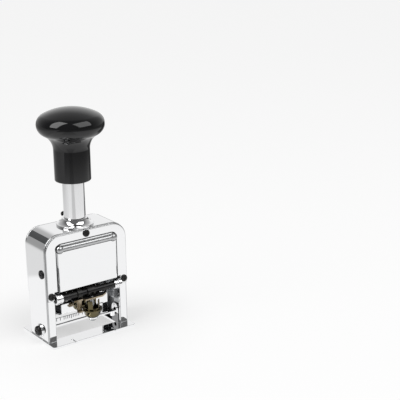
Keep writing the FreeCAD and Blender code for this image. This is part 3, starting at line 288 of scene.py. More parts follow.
def polished(name, colour, low, high, scale=60.0, scratches=0.0002, waves=0.0, metallic=1.0, stain=None,
             sheen=0.3):
    """A finish with handling marks in its gloss and, where given, a stain over its colour."""
    material = bpy.data.materials.new(name)
    material.use_nodes = True
    tree = material.node_tree
    shader = tree.nodes["Principled BSDF"]
    shader.inputs["Base Color"].default_value = (*colour, 1.0)
    shader.inputs["Metallic"].default_value = metallic
    marks = tree.nodes.new("ShaderNodeGroup")
    marks.node_tree = marks_group
    marks.inputs["Scale"].default_value = scale
    marks.inputs["Lowest Roughness"].default_value = low
    marks.inputs["Highest Roughness"].default_value = high
    marks.inputs["Scratch Depth"].default_value = scratches * mm
    marks.inputs["Wave Height"].default_value = waves * mm
    tree.links.new(marks.outputs["Roughness"], shader.inputs["Roughness"])
    tree.links.new(marks.outputs["Normal"], shader.inputs["Normal"])
    if not metallic:
        shader.inputs["Specular IOR Level"].default_value = sheen
    if stain:
        mix = tree.nodes.new("ShaderNodeMix")
        mix.data_type = "RGBA"
        mix.inputs["A"].default_value = (*colour, 1.0)
        mix.inputs["B"].default_value = (*stain, 1.0)
        share = tree.nodes.new("ShaderNodeMapRange")
        share.inputs["From Min"].default_value = 0.4
        share.inputs["From Max"].default_value = 0.62
        tree.links.new(marks.outputs["Mask"], share.inputs["Value"])
        tree.links.new(share.outputs["Result"], mix.inputs["Factor"])
        tree.links.new(mix.outputs["Result"], shader.inputs["Base Color"])
    return material


chrome = polished("chrome_plate", (0.89, 0.893, 0.9), 0.03, 0.07, waves=0.03)
# Painted dimmer reflection: a darker, rougher chrome laid on narrow rounded edges so that their highlights
# render as a soft grey line.
dimmed_edge_chrome = polished("painted_dim_reflection_edge", (0.52, 0.525, 0.53), 0.26, 0.4, scale=120.0)
# Painted shade and painted dark reflection: a dark chrome laid inside the casing, in the tick grooves and on
# the plate's rounded top edges.
painted_shade_plating = polished("painted_shade_plating", (0.17, 0.175, 0.18), 0.2, 0.36, scale=120.0)
# Painted shade: a near-black finish laid along creases, seams, the feet of the panel and bead, and lower
# edges, where shade falls.
painted_seam_shade = polished("painted_seam_shade", (0.05, 0.05, 0.052), 0.4, 0.6, scale=120.0)

casing = block("casing", (-CASING_HALF, CASING_HALF), (-CASING_FACE, CASING_FACE), (PLATE_TOP, CASING_TOP))
choose(casing, "FACE", lambda at, face: face.normal.z < -0.9)
bpy.ops.mesh.delete(type="FACE")
round_corners(casing, CASING_CORNER, 24, lambda at, edge: at.z > CASING_TOP - 1 and along(edge, 1))
choose(casing, "FACE", lambda at, face: abs(face.normal.y) > 0.9)
bpy.ops.mesh.inset(thickness=FLANGE_WIDTH * mm, use_boundary=False)
bpy.ops.mesh.delete(type="FACE")
lay_down()
wall = casing.modifiers.new("sheet", "SOLIDIFY")
wall.thickness = CASING_WALL * mm
wall.offset = -1.0
wall.use_even_offset = True
pick_up(casing)
bpy.ops.object.modifier_apply(modifier=wall.name)
TUBE_HOLE = 9.25
combine(casing, turned("hole", [(0, 70), (TUBE_HOLE, 70), (TUBE_HOLE, 90), (0, 90)]), "DIFFERENCE")
SHOULDER = 1.4
MARGIN = 0.05


def on_outline(at, edge):
    """Whether an edge lies on the outer outline of the casing, front or rear."""
    if abs(at.y) < CASING_FACE - 0.01 or along(edge, 1):
        return False
    side, rise = abs(at.x) - CASING_HALF + CASING_CORNER, at.z - CASING_TOP + CASING_CORNER
    if side > 0 and rise > 0:
        return math.hypot(side, rise) > CASING_CORNER - 0.3
    return side > CASING_CORNER - 0.1 or rise > CASING_CORNER - 0.1


round_corners(casing, SHOULDER, 8, on_outline)
finish(casing, "frame", chrome, edge=0.3, segments=2, sharp=50)
# Painted dimmer reflection on the front and rear shoulders of the casing.
refinish(casing, dimmed_edge_chrome,
         lambda at, face: 0.12 < abs(face.normal.y) < 0.97 and abs(at.y) > CASING_FACE - SHOULDER)
inner = CASING_WALL - MARGIN
# Painted shade inside the casing: its inner faces in dark chrome.
refinish(casing, painted_shade_plating,
         lambda at, face: abs(at.x) < CASING_HALF - inner and abs(at.y) < CASING_FACE - inner
         and at.z < CASING_TOP - inner)
LUG = 3.9
LUG_BORE = 2.55
LUG_LENGTH = 2.2
LEG_INSIDE = CASING_HALF - FLANGE_WIDTH
lug = [(LUG_BORE, 0), (LUG, 0), (LUG, LUG_LENGTH), (LUG_BORE, LUG_LENGTH), (LUG_BORE, 0)]
lugs = joined("rod_lugs", [
    turned("lug", lug, (-LEG_INSIDE, ROD_DEPTH, ROD_LEVEL), TO_RIGHT, 48),
    turned("lug", lug, (LEG_INSIDE, ROD_DEPTH, ROD_LEVEL), TO_LEFT, 48)])
finish(lugs, "frame", chrome, edge=0.25)

# Base plate. A stamped plate of chromed steel with the printing window pierced through it. The
# rear edge of the window is turned up into the sight lip, which has fine tick marks engraved, and
# two ears are turned up inside the casing for the base screws.

PLATE_HALF = 33.85
PLATE_FRONT = -21.9
PLATE_REAR = 23.6
PLATE_CORNER = 1.6
WINDOW_HALF = 24.5
WINDOW_FRONT = -9.8
LIP_FRONT = 12.2
LIP_REAR = 13.2
LIP_TOP = 6.3
LEDGE = 0.9
TICK_PITCH = 1.55
TICK_HALF = 0.15
TICK_DEPTH = 0.2
NOTCH_PLACE = 16.5
NOTCH_HALF = 0.6
EAR_TOP = 12.5
EAR_CORNER = 4.4
BREAK = 0.32

plate = block("plate", (-PLATE_HALF, PLATE_HALF), (PLATE_FRONT, PLATE_REAR), (0, PLATE_TOP))
round_corners(plate, PLATE_CORNER, 6, lambda at, edge: along(edge, 2))
window = block("window", (-WINDOW_HALF, WINDOW_HALF), (WINDOW_FRONT, LIP_FRONT - LEDGE), (-1, 3))
combine(plate, window, "DIFFERENCE")
combine(plate, block("lip", (-WINDOW_HALF, WINDOW_HALF), (LIP_FRONT, LIP_REAR), (0, LIP_TOP)), "UNION")
ticks = []
for index in range(-15, 16):
    if abs(index) > 4 and index % 2:
        continue
    middle = index * TICK_PITCH
    foot = LIP_TOP - (2.8 if index % 5 == 0 else 2.2)
    ticks.append(block("tick", (middle - TICK_HALF, middle + TICK_HALF),
                       (LIP_FRONT - 1, LIP_FRONT + TICK_DEPTH), (foot, LIP_TOP + 1)))
combine(plate, joined("ticks", ticks), "DIFFERENCE")
notches = [
    block("notch", (place - NOTCH_HALF, place + NOTCH_HALF), (PLATE_FRONT - 1, PLATE_FRONT + 5), (1.2, 3))
    for place in (-NOTCH_PLACE, NOTCH_PLACE)]
combine(plate, joined("notches", notches), "DIFFERENCE")
for side in (-1, 1):
    near, far = sorted((side * (CASING_HALF - CASING_WALL - 1.6), side * (CASING_HALF - CASING_WALL)))
    ear = block("ear", (near, far), (-5.7, 3.3), (0.8, EAR_TOP))
    round_corners(ear, EAR_CORNER, 10, lambda at, edge: at.z > EAR_TOP - 0.5 and along(edge, 0))
    combine(plate, ear, "UNION")
finish(plate, "base_plate", chrome, edge=0.3, segments=3)
# Painted shade in the crease at the foot of the sight lip.
refinish(plate, painted_seam_shade,
         lambda at, face: abs(at.y - LIP_FRONT) < BREAK and abs(at.z - PLATE_TOP) < BREAK
         and 0.2 < face.normal.z < 0.98)
# Painted shade in the engraved tick grooves, and a painted dark reflection on the plate's rounded top edges.
refinish(plate, painted_shade_plating,
         lambda at, face: 0 < at.y - LIP_FRONT < 0.3 and at.z > PLATE_TOP + 1 or
         PLATE_TOP - BREAK < at.z < PLATE_TOP and 0.1 < face.normal.z < 0.99)
# Painted dark reflection along the plate's rounded front edge.
refinish(plate, painted_shade_plating,
         lambda at, face: at.y < PLATE_FRONT + BREAK and 0.1 < face.normal.z < 0.99)

# Rails, crossbar and spring seat. Milled steel blocks held by the side screws guide the head, and a
# turned steel pin through both of them carries the seat of the return spring.

steel = polished("plain_steel", (0.4, 0.41, 0.42), 0.2, 0.38, scale=160.0, scratches=0.001)


def softened(node, material, edge=0.15, segments=2):
    """A copy of a CAD piece with its triangles merged and its edges broken."""
    piece = nodes[node].copy()
    piece.data = nodes[node].data.copy()
    piece.name = node + "_piece"
    piece.parent = None
    for key in list(piece.keys()):
        if key.startswith("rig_"):
            del piece[key]
    bpy.context.scene.collection.objects.link(piece)
    piece.matrix_world = Matrix.Identity(4)
    pick_up(piece)
    bpy.ops.object.mode_set(mode="EDIT")
    bpy.ops.mesh.select_all(action="SELECT")
    bpy.ops.mesh.remove_doubles(threshold=0.002 * mm)
    bpy.ops.mesh.dissolve_limited(angle_limit=math.radians(0.5))
    bpy.ops.object.mode_set(mode="OBJECT")
    return finish(piece, node, material, edge, segments)


for node in ("left_guide_rail", "right_guide_rail", "spring_crossbar", "spring_seat"):
    softened(node, steel, edge=0.3)

# Collar. A turned bush of chromed steel, riveted through the top of the casing, that guides the
# plunger. Its skirt flares out in a hollow curve to a flat flange.


def arc(middle, radius, start, stop, count):
    """Points of a turned profile along an arc, from start to stop in degrees."""
    angles = [math.radians(start + (stop - start) * step / count) for step in range(count + 1)]
    return [(middle[0] + radius * math.cos(angle), middle[1] + radius * math.sin(angle)) for angle in angles]


COLLAR_BORE = 7.83
COLLAR_SPIGOT = 9.2
COLLAR_FOOT = CASING_TOP - 3.4
COLLAR_FLANGE = 13.4
FLANGE_TOP = CASING_TOP + 0.9
COLLAR_TOP = 85.4
LATCH_LEVEL = 83.4
PIN_HOLE = 1.38
profile = [(COLLAR_BORE, COLLAR_FOOT), (COLLAR_SPIGOT, COLLAR_FOOT), (COLLAR_SPIGOT, CASING_TOP)]
profile += [(COLLAR_FLANGE, CASING_TOP), (COLLAR_FLANGE, FLANGE_TOP)]
profile += arc((13.0, FLANGE_TOP), 0.4, 0, 90, 5)[1:]
profile += arc((13.6, 85.7), 4.4, 262, 184, 18)
profile += [(COLLAR_SPIGOT, COLLAR_TOP), (COLLAR_BORE, COLLAR_TOP), (COLLAR_BORE, COLLAR_FOOT)]
collar = turned("collar", profile)
profile = [(0, 5), (PIN_HOLE, 5), (PIN_HOLE, 14), (0, 14)]
pin_hole = turned("pin_hole", profile, (0, 0, LATCH_LEVEL), TO_REAR, 40)
combine(collar, pin_hole, "DIFFERENCE")
finish(collar, "collar", chrome, edge=0.25, segments=3, sharp=40)

# Plunger. A drawn steel tube, satin chromed, slotted inside the casing for the crossbar and drilled
# at the rear for the latch, with the return spring inside it against a turned plug.

TUBE = 7.75
TUBE_BORE = 6.25
TUBE_FOOT = 50
TUBE_TOP = 134.0
STROKE = 22.0
SLOT_HALF = 1.75
LATCH_HOLE = 1.7
tube_chrome = polished("tube_chrome", (0.87, 0.872, 0.88), 0.08, 0.14, scale=90.0, scratches=0.0005)
profile = [(TUBE_BORE, TUBE_FOOT), (TUBE, TUBE_FOOT), (TUBE, TUBE_TOP), (TUBE_BORE, TUBE_TOP)]
tube = turned("tube", profile + profile[:1], steps=128)
slot = block("slot", (-9, 9), (-SLOT_HALF, SLOT_HALF), (56.85, 82.35))
round_corners(slot, SLOT_HALF - 0.01, 8, lambda at, edge: along(edge, 0))
combine(tube, slot, "DIFFERENCE")
for level in (LATCH_LEVEL, LATCH_LEVEL + STROKE):
    hole = turned("latch_hole", [(0, 3), (LATCH_HOLE, 3), (LATCH_HOLE, 9), (0, 9)], (0, 0, level), TO_REAR, 32)
    combine(tube, hole, "DIFFERENCE")
finish(tube, "plunger_tube", tube_chrome, edge=0.2)
softened("knob_plug", steel, edge=0.2)
spring_steel = polished("spring_steel", (0.34, 0.34, 0.35), 0.22, 0.4, scale=200.0)


def coil(name, radius, wire, foot, top, turns, at=(0, 0, 0), turn=UPRIGHT):
    """A round wire wound into a spring about the height axis."""
    lay_down()
    bpy.ops.mesh.primitive_circle_add(vertices=10, radius=wire / 2 * mm, rotation=TO_FRONT,
                                      location=((radius - wire / 2) * mm, 0, (foot + wire / 2) * mm))
    bpy.ops.object.transform_apply(location=True, rotation=True, scale=True)
    wound = bpy.context.object
    wound.name = name
    wind = wound.modifiers.new("wind", "SCREW")
    wind.angle = 2 * math.pi
    wind.steps = 28
    wind.render_steps = 28
    wind.iterations = turns
    wind.screw_offset = (top - foot - wire) / turns * mm
    bpy.ops.object.modifier_apply(modifier=wind.name)
    bpy.ops.object.mode_set(mode="EDIT")
    bpy.ops.mesh.select_mode(type="EDGE")
    bpy.ops.mesh.select_all(action="DESELECT")
    bpy.ops.mesh.select_non_manifold()
    bpy.ops.mesh.fill()
    bpy.ops.mesh.select_all(action="SELECT")
    bpy.ops.mesh.normals_make_consistent(inside=False)
    bpy.ops.object.mode_set(mode="OBJECT")
    return moved(wound, at, turn)


SEAT_TOP = 61.73
PLUG_FOOT = 118.0
spring = coil("return_coil", 5.5, 0.8, SEAT_TOP, PLUG_FOOT, 19)
finish(spring, "return_spring", spring_steel, edge=0)
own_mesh(spring)

# Knob. A mushroom grip moulded in glossy black phenolic, pressed onto the top of the tube. Its
# neck swells into the head in one hollow sweep.

NECK = 12.8
KNOB_FOOT = 112.5
KNOB_LEVEL = 152.5
knob_black = polished("glossy_phenolic", (0.005, 0.005, 0.0055), 0.04, 0.09, scale=45.0, scratches=0.0001,
                      metallic=0.0, sheen=0.5)
profile = [(0, TUBE_TOP + 0.3), (TUBE + 0.03, TUBE_TOP + 0.3), (TUBE + 0.03, KNOB_FOOT)]
profile += arc((NECK - 0.8, KNOB_FOOT + 0.8), 0.8, -90, 0, 5)
profile += [(NECK, 120), (NECK, 128)]
profile += arc((24.8, 134.69), 12.0, 180, 117.06, 18)
profile += arc((15.69, KNOB_LEVEL), 8.0, -62.94, 0, 16)[1:]
profile += arc((16.19, KNOB_LEVEL), 7.5, 0, 62.93, 16)[1:]
profile += arc((0, 120.804), 43.096, 62.93, 90, 14)[1:]
knob = turned("knob_moulding", profile, steps=160)
finish(knob, "knob", knob_black, edge=0.3, segments=3, sharp=40)

# Latch. A blackened steel pin behind the collar that slides into a hole in the tube to hold the
# plunger down, with a button head and a small coil spring round it.

black = polished("blackened_steel", (0.007, 0.007, 0.008), 0.16, 0.34, scale=220.0, scratches=0.001,
                 metallic=0.0, stain=(0.018, 0.017, 0.016))
profile = [(0, 8.1), (1.1, 8.1), (1.3, 8.3), (1.3, 15.6)]
profile += [(1.9, 15.6), (1.9, 17.0), (1.6, 17.5), (1.0, 17.75), (0, 17.8)]
latch = turned("latch_pin", profile, (0, 0, LATCH_LEVEL), TO_REAR, 40)
finish(latch, "latch_button", black, edge=0.15)
latch_coil = coil("latch_coil", 1.7, 0.36, 12.2, 14.1, 3, (0, 0, LATCH_LEVEL), TO_REAR)
finish(latch_coil, "latch_spring", spring_steel, edge=0)

# Wheel carrier. A bent steel yoke pressed onto the foot of the tube. Its two cheeks hold the axle,
# its tie rod stiffens them, its shoes run in the rails, and the comb's leaves stop the wheels.

softened("wheel_carrier", steel, 0.25)
softened("guide_shoes", steel, 0.25)
for node in ("wheel_axle", "axle_nuts", "carrier_tie_rod"):
    softened(node, steel, 0.2)
softened("detent_comb", spring_steel, 0.08)

# Number wheels. Turned and milled steel wheels, blackened, each with ten raised type faces whose
# figures are filled with white, and a ratchet beside them. Thin washers keep them apart.

AXLE_LEVEL = 31.2
WHEEL = 9.0
WHEELS = 6
FIRST_FIGURE = -14.6
WHEEL_PITCH = 4.8
FIGURE_SIZE = 4.2
FIGURE_HEIGHT = 0.14
wheel_black = polished("wheel_black", (0.018, 0.018, 0.02), 0.2, 0.42, scale=300.0, scratches=0.001,
                       metallic=0.0, stain=(0.04, 0.04, 0.042))
figure_white = polished("figure_white", (0.82, 0.81, 0.78), 0.35, 0.55, scale=400.0, metallic=0.0,
                        stain=(0.6, 0.59, 0.57))
figures = []
for value in range(10):
    lay_down()
    bpy.ops.object.text_add()
    figure = bpy.context.object
    figure.data.body = str(value)
    figure.data.align_x = "CENTER"
    figure.data.align_y = "CENTER"
    figure.data.size = FIGURE_SIZE * mm
    figure.data.extrude = FIGURE_HEIGHT * mm
    figure.data.resolution_u = 3
    bpy.ops.object.convert(target="MESH")
    bpy.ops.object.origin_set(type="ORIGIN_GEOMETRY", center="BOUNDS")
    figure = bpy.context.object
    figure.location = (0, 0, -WHEEL * mm)
    figure.scale = (0.95, 1.0, 1.0)
    bpy.ops.object.transform_apply(location=True, rotation=True, scale=True)
    figures.append(moved(figure, (FIRST_FIGURE, 0, AXLE_LEVEL), (math.radians(36 * value), 0, 0)))
figures = joined("figures_1", figures)
for index in range(WHEELS):
    softened(f"number_wheel_{index + 1}", wheel_black, 0.07)
    ring = another(figures, (index * WHEEL_PITCH, 0, 0)) if index else figures
    ring.name = f"figures_{index + 1}"
for index in range(WHEELS):
    ring = bpy.data.objects[f"figures_{index + 1}"]
    ring.data.materials.clear()
    ring.data.materials.append(figure_white)
    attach(ring, nodes[f"number_wheel_{index + 1}"]["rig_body"])
softened("repeat_ratchet", steel, 0.08)
softened("spacers", steel, 0)

# Pawl. A steel yoke swings on the axle and carries a brass pawl whose teeth push the ratchets on by
# one figure at each stroke.

brass = polished("worn_brass", (0.4, 0.34, 0.255), 0.12, 0.3, scale=110.0, scratches=0.001,
                 stain=(0.15, 0.115, 0.07))
softened("pawl_yoke", steel, 0.12)
softened("feed_pawl", brass, 0.1)

# Inking. A chromed trough with an inked felt pad in it hangs on two arms from the axle, against the
# type faces at rest, and swings out of the way as the plunger goes down.

tray = softened("pad_tray", chrome, 0.2)
# Painted shade along the lower edge of the tray.
rim = min(point.co.z for point in tray.data.vertices) / mm + 0.5
refinish(tray, painted_seam_shade, lambda at, face: at.z < rim)
worn_plating = polished("worn_plating", (0.5, 0.505, 0.51), 0.08, 0.2, scale=140.0)
softened("pad_carrier", worn_plating, 0.2)
felt_black = bpy.data.materials.new("inked_felt")
felt_black.use_nodes = True
tree = felt_black.node_tree
shader = tree.nodes["Principled BSDF"]
shader.inputs["Roughness"].default_value = 0.92
shader.inputs["Sheen Weight"].default_value = 0.3
fibres = tree.nodes.new("ShaderNodeTexNoise")
fibres.inputs["Scale"].default_value = 2600.0
fibres.inputs["Detail"].default_value = 6.0
place = tree.nodes.new("ShaderNodeTexCoord")
tree.links.new(place.outputs["Object"], fibres.inputs["Vector"])
inked = tree.nodes.new("ShaderNodeMix")
inked.data_type = "RGBA"
inked.inputs["A"].default_value = (0.008, 0.007, 0.015, 1)
inked.inputs["B"].default_value = (0.03, 0.027, 0.045, 1)
tree.links.new(fibres.outputs["Fac"], inked.inputs["Factor"])
tree.links.new(inked.outputs["Result"], shader.inputs["Base Color"])
nap = tree.nodes.new("ShaderNodeBump")
nap.inputs["Strength"].default_value = 0.6
nap.inputs["Distance"].default_value = 0.1 * mm
tree.links.new(fibres.outputs["Fac"], nap.inputs["Height"])
tree.links.new(nap.outputs["Normal"], shader.inputs["Normal"])
felt = softened("ink_pad", felt_black, 0.4, 3)

# Front rod. A blackened steel rod across the front between the lugs, with a chromed collar at each
# end. The brass parts that count the repeats are strung on it.

ROD = 2.5
ROD_CHAMFER = 0.3
profile = [(0, -LEG_INSIDE), (2.2, -LEG_INSIDE), (ROD, ROD_CHAMFER - LEG_INSIDE)]
profile += [(ROD, LEG_INSIDE - ROD_CHAMFER), (2.2, LEG_INSIDE), (0, LEG_INSIDE)]
rod = turned("rod", profile, (0, ROD_DEPTH, ROD_LEVEL), TO_RIGHT, 48)
finish(rod, "front_rod", black, edge=0.1)
profile = [(2.53, 0), (2.9, 0), (3.5, 0.6), (3.5, 1.5), (3.25, 1.7), (3.25, 1.9)]
profile += [(3.5, 2.1), (3.5, 3.37), (2.53, 3.37), (2.53, 0)]
COLLAR_INSIDE = LEG_INSIDE - LUG_LENGTH - 3.4
STRAP = 4.3
rings = joined("rod_rings", [
    turned("ring", profile, (-COLLAR_INSIDE, ROD_DEPTH, ROD_LEVEL), TO_LEFT, 56),
    turned("ring", profile, (COLLAR_INSIDE, ROD_DEPTH, ROD_LEVEL), TO_RIGHT, 56)])
finish(rings, "rod_collars", chrome, edge=0.12)
for node in ("dial_bracket", "count_finger"):
    refinish(softened(node, brass, 0.15), black,
             lambda at, face: math.hypot(at.y - ROD_DEPTH, at.z - ROD_LEVEL) < STRAP)
softened("dial_stud", steel, 0.2)

# Repeat dial. A turned brass bowl with a rim, whose upper wall is milled away into four posts. A
# chromed lever under it, held by a nut on the same stud, turns it to the wanted setting.

DIAL = (1.3, -16.6, 0)
bowl = turned("bowl", [
    (1.58, 14.6), (3.4, 14.6), (4.6, 15.2), (5.4, 16.1), (5.9, 17.2), (6.1, 18.4), (7.1, 20.0), (7.1, 20.9),
    (5.3, 20.9), (5.3, 27.6), (4.4, 27.6), (4.4, 18.4), (3.4, 16.0), (1.58, 16.0), (1.58, 14.6)], DIAL)
for turn in (0, math.pi / 2):
    gap = moved(block("gap", (-8, 8), (-2.3, 2.3), (21.9, 29)), DIAL, (0, 0, turn))
    combine(bowl, gap, "DIFFERENCE")
# The bowl's dark colour is partly tarnish and partly painted shade, standing in for the shaded floor that the
# bowl mirrors.
dark_brass = polished("dark_brass", (0.13, 0.11, 0.06), 0.06, 0.16, scale=110.0, scratches=0.0006,
                      stain=(0.06, 0.048, 0.028))
finish(bowl, "repeat_dial", dark_brass, edge=0.15)
softened("dial_lever", chrome, 0.25)
softened("dial_nut", steel, 0.15)

# Covers. Two pressed plates of chromed steel close the casing. The front one has a raised panel
# and, above it, a half-round bead with a ball at each end. Their corners follow the casing's.

COVER_HALF = 32.65
COVER_TOP = 79.65
COVER_FRONT = -14.75
COVER_THICKNESS = 1.25
COVER_FOOT = 38.6
REAR_FOOT = 36.6
TAB_FOOT = 32.6
TAB_INSIDE = COVER_HALF - 5.9


def cover(name, y, foot):
    """A cover plate with rounded upper corners and a tab at each lower corner."""
    piece = block(name, (-COVER_HALF, COVER_HALF), y, (TAB_FOOT, COVER_TOP))
    round_corners(piece, CASING_CORNER - 0.35, 24, lambda at, edge: at.z > CASING_TOP - 1 and along(edge, 1))
    gap = block("gap", (-TAB_INSIDE, TAB_INSIDE), (y[0] - 1, y[1] + 1), (TAB_FOOT - 1, foot))
    return combine(piece, gap, "DIFFERENCE")


front = cover("front_plate", (COVER_FRONT, -CASING_FACE), COVER_FOOT)
round_corners(front, 0.8, 5, lambda at, edge: at.y < COVER_FRONT + 0.1)
finish(front, "front_cover", chrome, edge=0.3, segments=3)
# Painted shade on the plate's sides, in the seam against the casing, and a painted dimmer reflection on its
# rounded front edges.
refinish(front, painted_seam_shade, lambda at, face: abs(face.normal.y) < 0.3)
refinish(front, dimmed_edge_chrome, lambda at, face: 0.3 <= -face.normal.y < 0.97)
PANEL_HALF = 24.5
PANEL_TOP = 73.3
PANEL_CORNER = 4.0
PANEL_RISE = 0.9
PANEL_EDGE = 1.5
panel = block("panel", (-PANEL_HALF, PANEL_HALF), (COVER_FRONT - PANEL_RISE, COVER_FRONT + 1.1),
              (COVER_FOOT, PANEL_TOP))
round_corners(panel, PANEL_CORNER, 16, lambda at, edge: at.z > PANEL_TOP - 1 and along(edge, 1))
round_corners(panel, PANEL_EDGE, 10, lambda at, edge: at.y < COVER_FRONT - 0.8 and at.z > COVER_FOOT + 0.1)
finish(panel, "front_cover", chrome, edge=0)
# Painted dimmer reflection on the rounded edges of the panel.
refinish(panel, dimmed_edge_chrome, lambda at, face: -face.normal.y < 0.96)
# A near-black strip just behind the panel's outline: painted shade along the foot of the panel.
SHADE_MARGIN = 0.3
line = block("panel_foot_shade", (-PANEL_HALF - SHADE_MARGIN, PANEL_HALF + SHADE_MARGIN), (COVER_FRONT - 0.05, COVER_FRONT + 1),
             (COVER_FOOT + 0.6, PANEL_TOP + SHADE_MARGIN))
round_corners(line, PANEL_CORNER + SHADE_MARGIN, 16, lambda at, edge: at.z > PANEL_TOP and along(edge, 1))
finish(line, "front_cover", painted_seam_shade, edge=0)
BEAD_HALF = 21.6
BEAD_LEVEL = 69.6
BEAD = 2.1
BALL = 2.9


def half_bead(name, spread, foremost):
    """The half-round bead with its two balls, from a depth in mm back to the casing."""
    ball = BALL + spread
    reach = math.degrees(math.acos((BEAD + spread) / ball))
    profile = arc((0, -BEAD_HALF), ball, 270, 360 + reach, 16) + arc((0, BEAD_HALF), ball, -reach, 90, 16)
    piece = turned(name, profile, (0, COVER_FRONT, BEAD_LEVEL), TO_RIGHT, 72)
    pick_up(piece)
    bpy.ops.object.mode_set(mode="EDIT")
    for depth, way in ((foremost, -1), (-CASING_FACE, 1)):
        bpy.ops.mesh.select_all(action="SELECT")
        bpy.ops.mesh.bisect(plane_co=(0, depth * mm, 0), plane_no=(0, way, 0), use_fill=True, clear_outer=True)
    lay_down()
    return piece


# The bead in dimmed chrome as a painted dimmer reflection, and behind it a slightly larger near-black shell as
# painted shade along its foot.
finish(half_bead("bead", 0, COVER_FRONT - 4), "front_cover", dimmed_edge_chrome, edge=0)
bead_foot_shade = half_bead("bead_foot_shade", SHADE_MARGIN, COVER_FRONT - PANEL_RISE - 0.05)
finish(bead_foot_shade, "front_cover", painted_seam_shade, edge=0)
rear = cover("rear_plate", (CASING_FACE, CASING_FACE + COVER_THICKNESS), REAR_FOOT)
finish(rear, "rear_cover", chrome, edge=0.35, segments=3)

# Screws. Blackened steel screws with domed heads and a cross recess. Three hold each cover, one on
# each side holds a rail, and one with a tall head and a dished washer holds each ear of the base.


def screw(name, head, height, shank, reach):
    """A screw that stands upright with its seat at the origin."""
    dome = [(1, 0.4), (0.96, 0.62), (0.84, 0.84), (0.66, 0.97), (0.4, 1), (0, 1)]
    profile = [(0, -reach), (shank, -reach), (shank, 0), (head, 0)]
    profile += [(head * out, height * up) for out, up in dome]
    piece = turned(name, profile, steps=48)
    arm = head * 0.55
    for turn in (0, math.pi / 2):
        slit = block("slit", (-arm, arm), (-0.35, 0.35), (height - 0.6, height + 1))
        combine(piece, moved(slit, (0, 0, 0), (0, 0, turn)), "DIFFERENCE")
    return piece


cover_screw = screw("cover_screw", 2.6, 1.2, 1.3, 2.6)
sites = [(-29.7, 36.3), (29.7, 36.3), (0, 76.9)]
front_screws = joined("front_screws", [another(cover_screw, (x, COVER_FRONT, z), TO_FRONT) for x, z in sites])
finish(front_screws, "front_cover_screws", black, edge=0.1)
rear_screws = joined("rear_screws", [another(cover_screw, (x, -COVER_FRONT, z), TO_REAR) for x, z in sites])
finish(rear_screws, "rear_cover_screws", black, edge=0.1)
bpy.data.objects.remove(cover_screw)
SIDES = ((-1, TO_LEFT), (1, TO_RIGHT))
EAR_WASHER = 0.7
EAR_DEPTH = -1.2
EAR_LEVEL = 7.7
side_screw = screw("side_screw", 3.2, 1.1, 1.5, 4.4)
pair = joined("rail_screws", [another(side_screw, (side * CASING_HALF, -8, 51.7), turn)
                              for side, turn in SIDES])
finish(pair, "side_screws", black, edge=0.1)
bpy.data.objects.remove(side_screw)
base_screw = screw("base_screw", 3.6, 2.6, 1.6, 4.3)
ON_WASHER = CASING_HALF + EAR_WASHER
pair = joined("plate_screws", [another(base_screw, (side * ON_WASHER, EAR_DEPTH, EAR_LEVEL), turn)
                               for side, turn in SIDES])
finish(pair, "base_screws", black, edge=0.12)
bpy.data.objects.remove(base_screw)
dish = [(1.7, 0), (4.7, 0), (4.7, 1.05), (4.35, 1.05), (3.95, EAR_WASHER), (1.7, EAR_WASHER), (1.7, 0)]
washers = joined("washers", [turned("washer", dish, (side * CASING_HALF, EAR_DEPTH, EAR_LEVEL), turn, 64)
                             for side, turn in SIDES])
finish(washers, "base_screw_washers", chrome, edge=0.12)

# Studio. A white sweep, a room that is pale behind the machine and dim in front of it, and two soft
# boxes. What the chrome mirrors of the sweep fades with the distance.

lay_down()
bpy.ops.mesh.primitive_plane_add(size=6, location=(0, 0, -0.05 * mm))
floor = bpy.context.object
floor.name = "sweep_floor"
bpy.ops.object.transform_apply(location=True, rotation=True, scale=True)
paper = bpy.data.materials.new("white_sweep")
paper.use_nodes = True
tree = paper.node_tree
shader = tree.nodes["Principled BSDF"]
shader.inputs["Base Color"].default_value = (0.9, 0.9, 0.9, 1)
shader.inputs["Roughness"].default_value = 0.9
shader.inputs["Specular IOR Level"].default_value = 0.1
glow = tree.nodes.new("ShaderNodeEmission")
mix = tree.nodes.new("ShaderNodeMixShader")
path = tree.nodes.new("ShaderNodeLightPath")
place = tree.nodes.new("ShaderNodeTexCoord")


def toward(tree, spot, way, start, stop, low, high):
    """A share that goes from low to high as a spot or direction comes on along one way."""
    measure = tree.nodes.new("ShaderNodeVectorMath")
    measure.operation = "DOT_PRODUCT"
    measure.inputs[1].default_value = way
    tree.links.new(spot, measure.inputs[0])
    share = tree.nodes.new("ShaderNodeMapRange")
    share.interpolation_type = "SMOOTHSTEP"
    for name, value in (("From Min", start), ("From Max", stop), ("To Min", low), ("To Max", high)):
        share.inputs[name].default_value = value
    tree.links.new(measure.outputs["Value"], share.inputs["Value"])
    return share.outputs["Result"]


def combined(tree, how, *terms):
    """Two shares or numbers added, subtracted, multiplied or compared."""
    step = tree.nodes.new("ShaderNodeMath")
    step.operation = how
    for socket, term in zip(step.inputs, terms):
        if isinstance(term, float):
            socket.default_value = term
        else:
            tree.links.new(term, socket)
    return step.outputs[0]


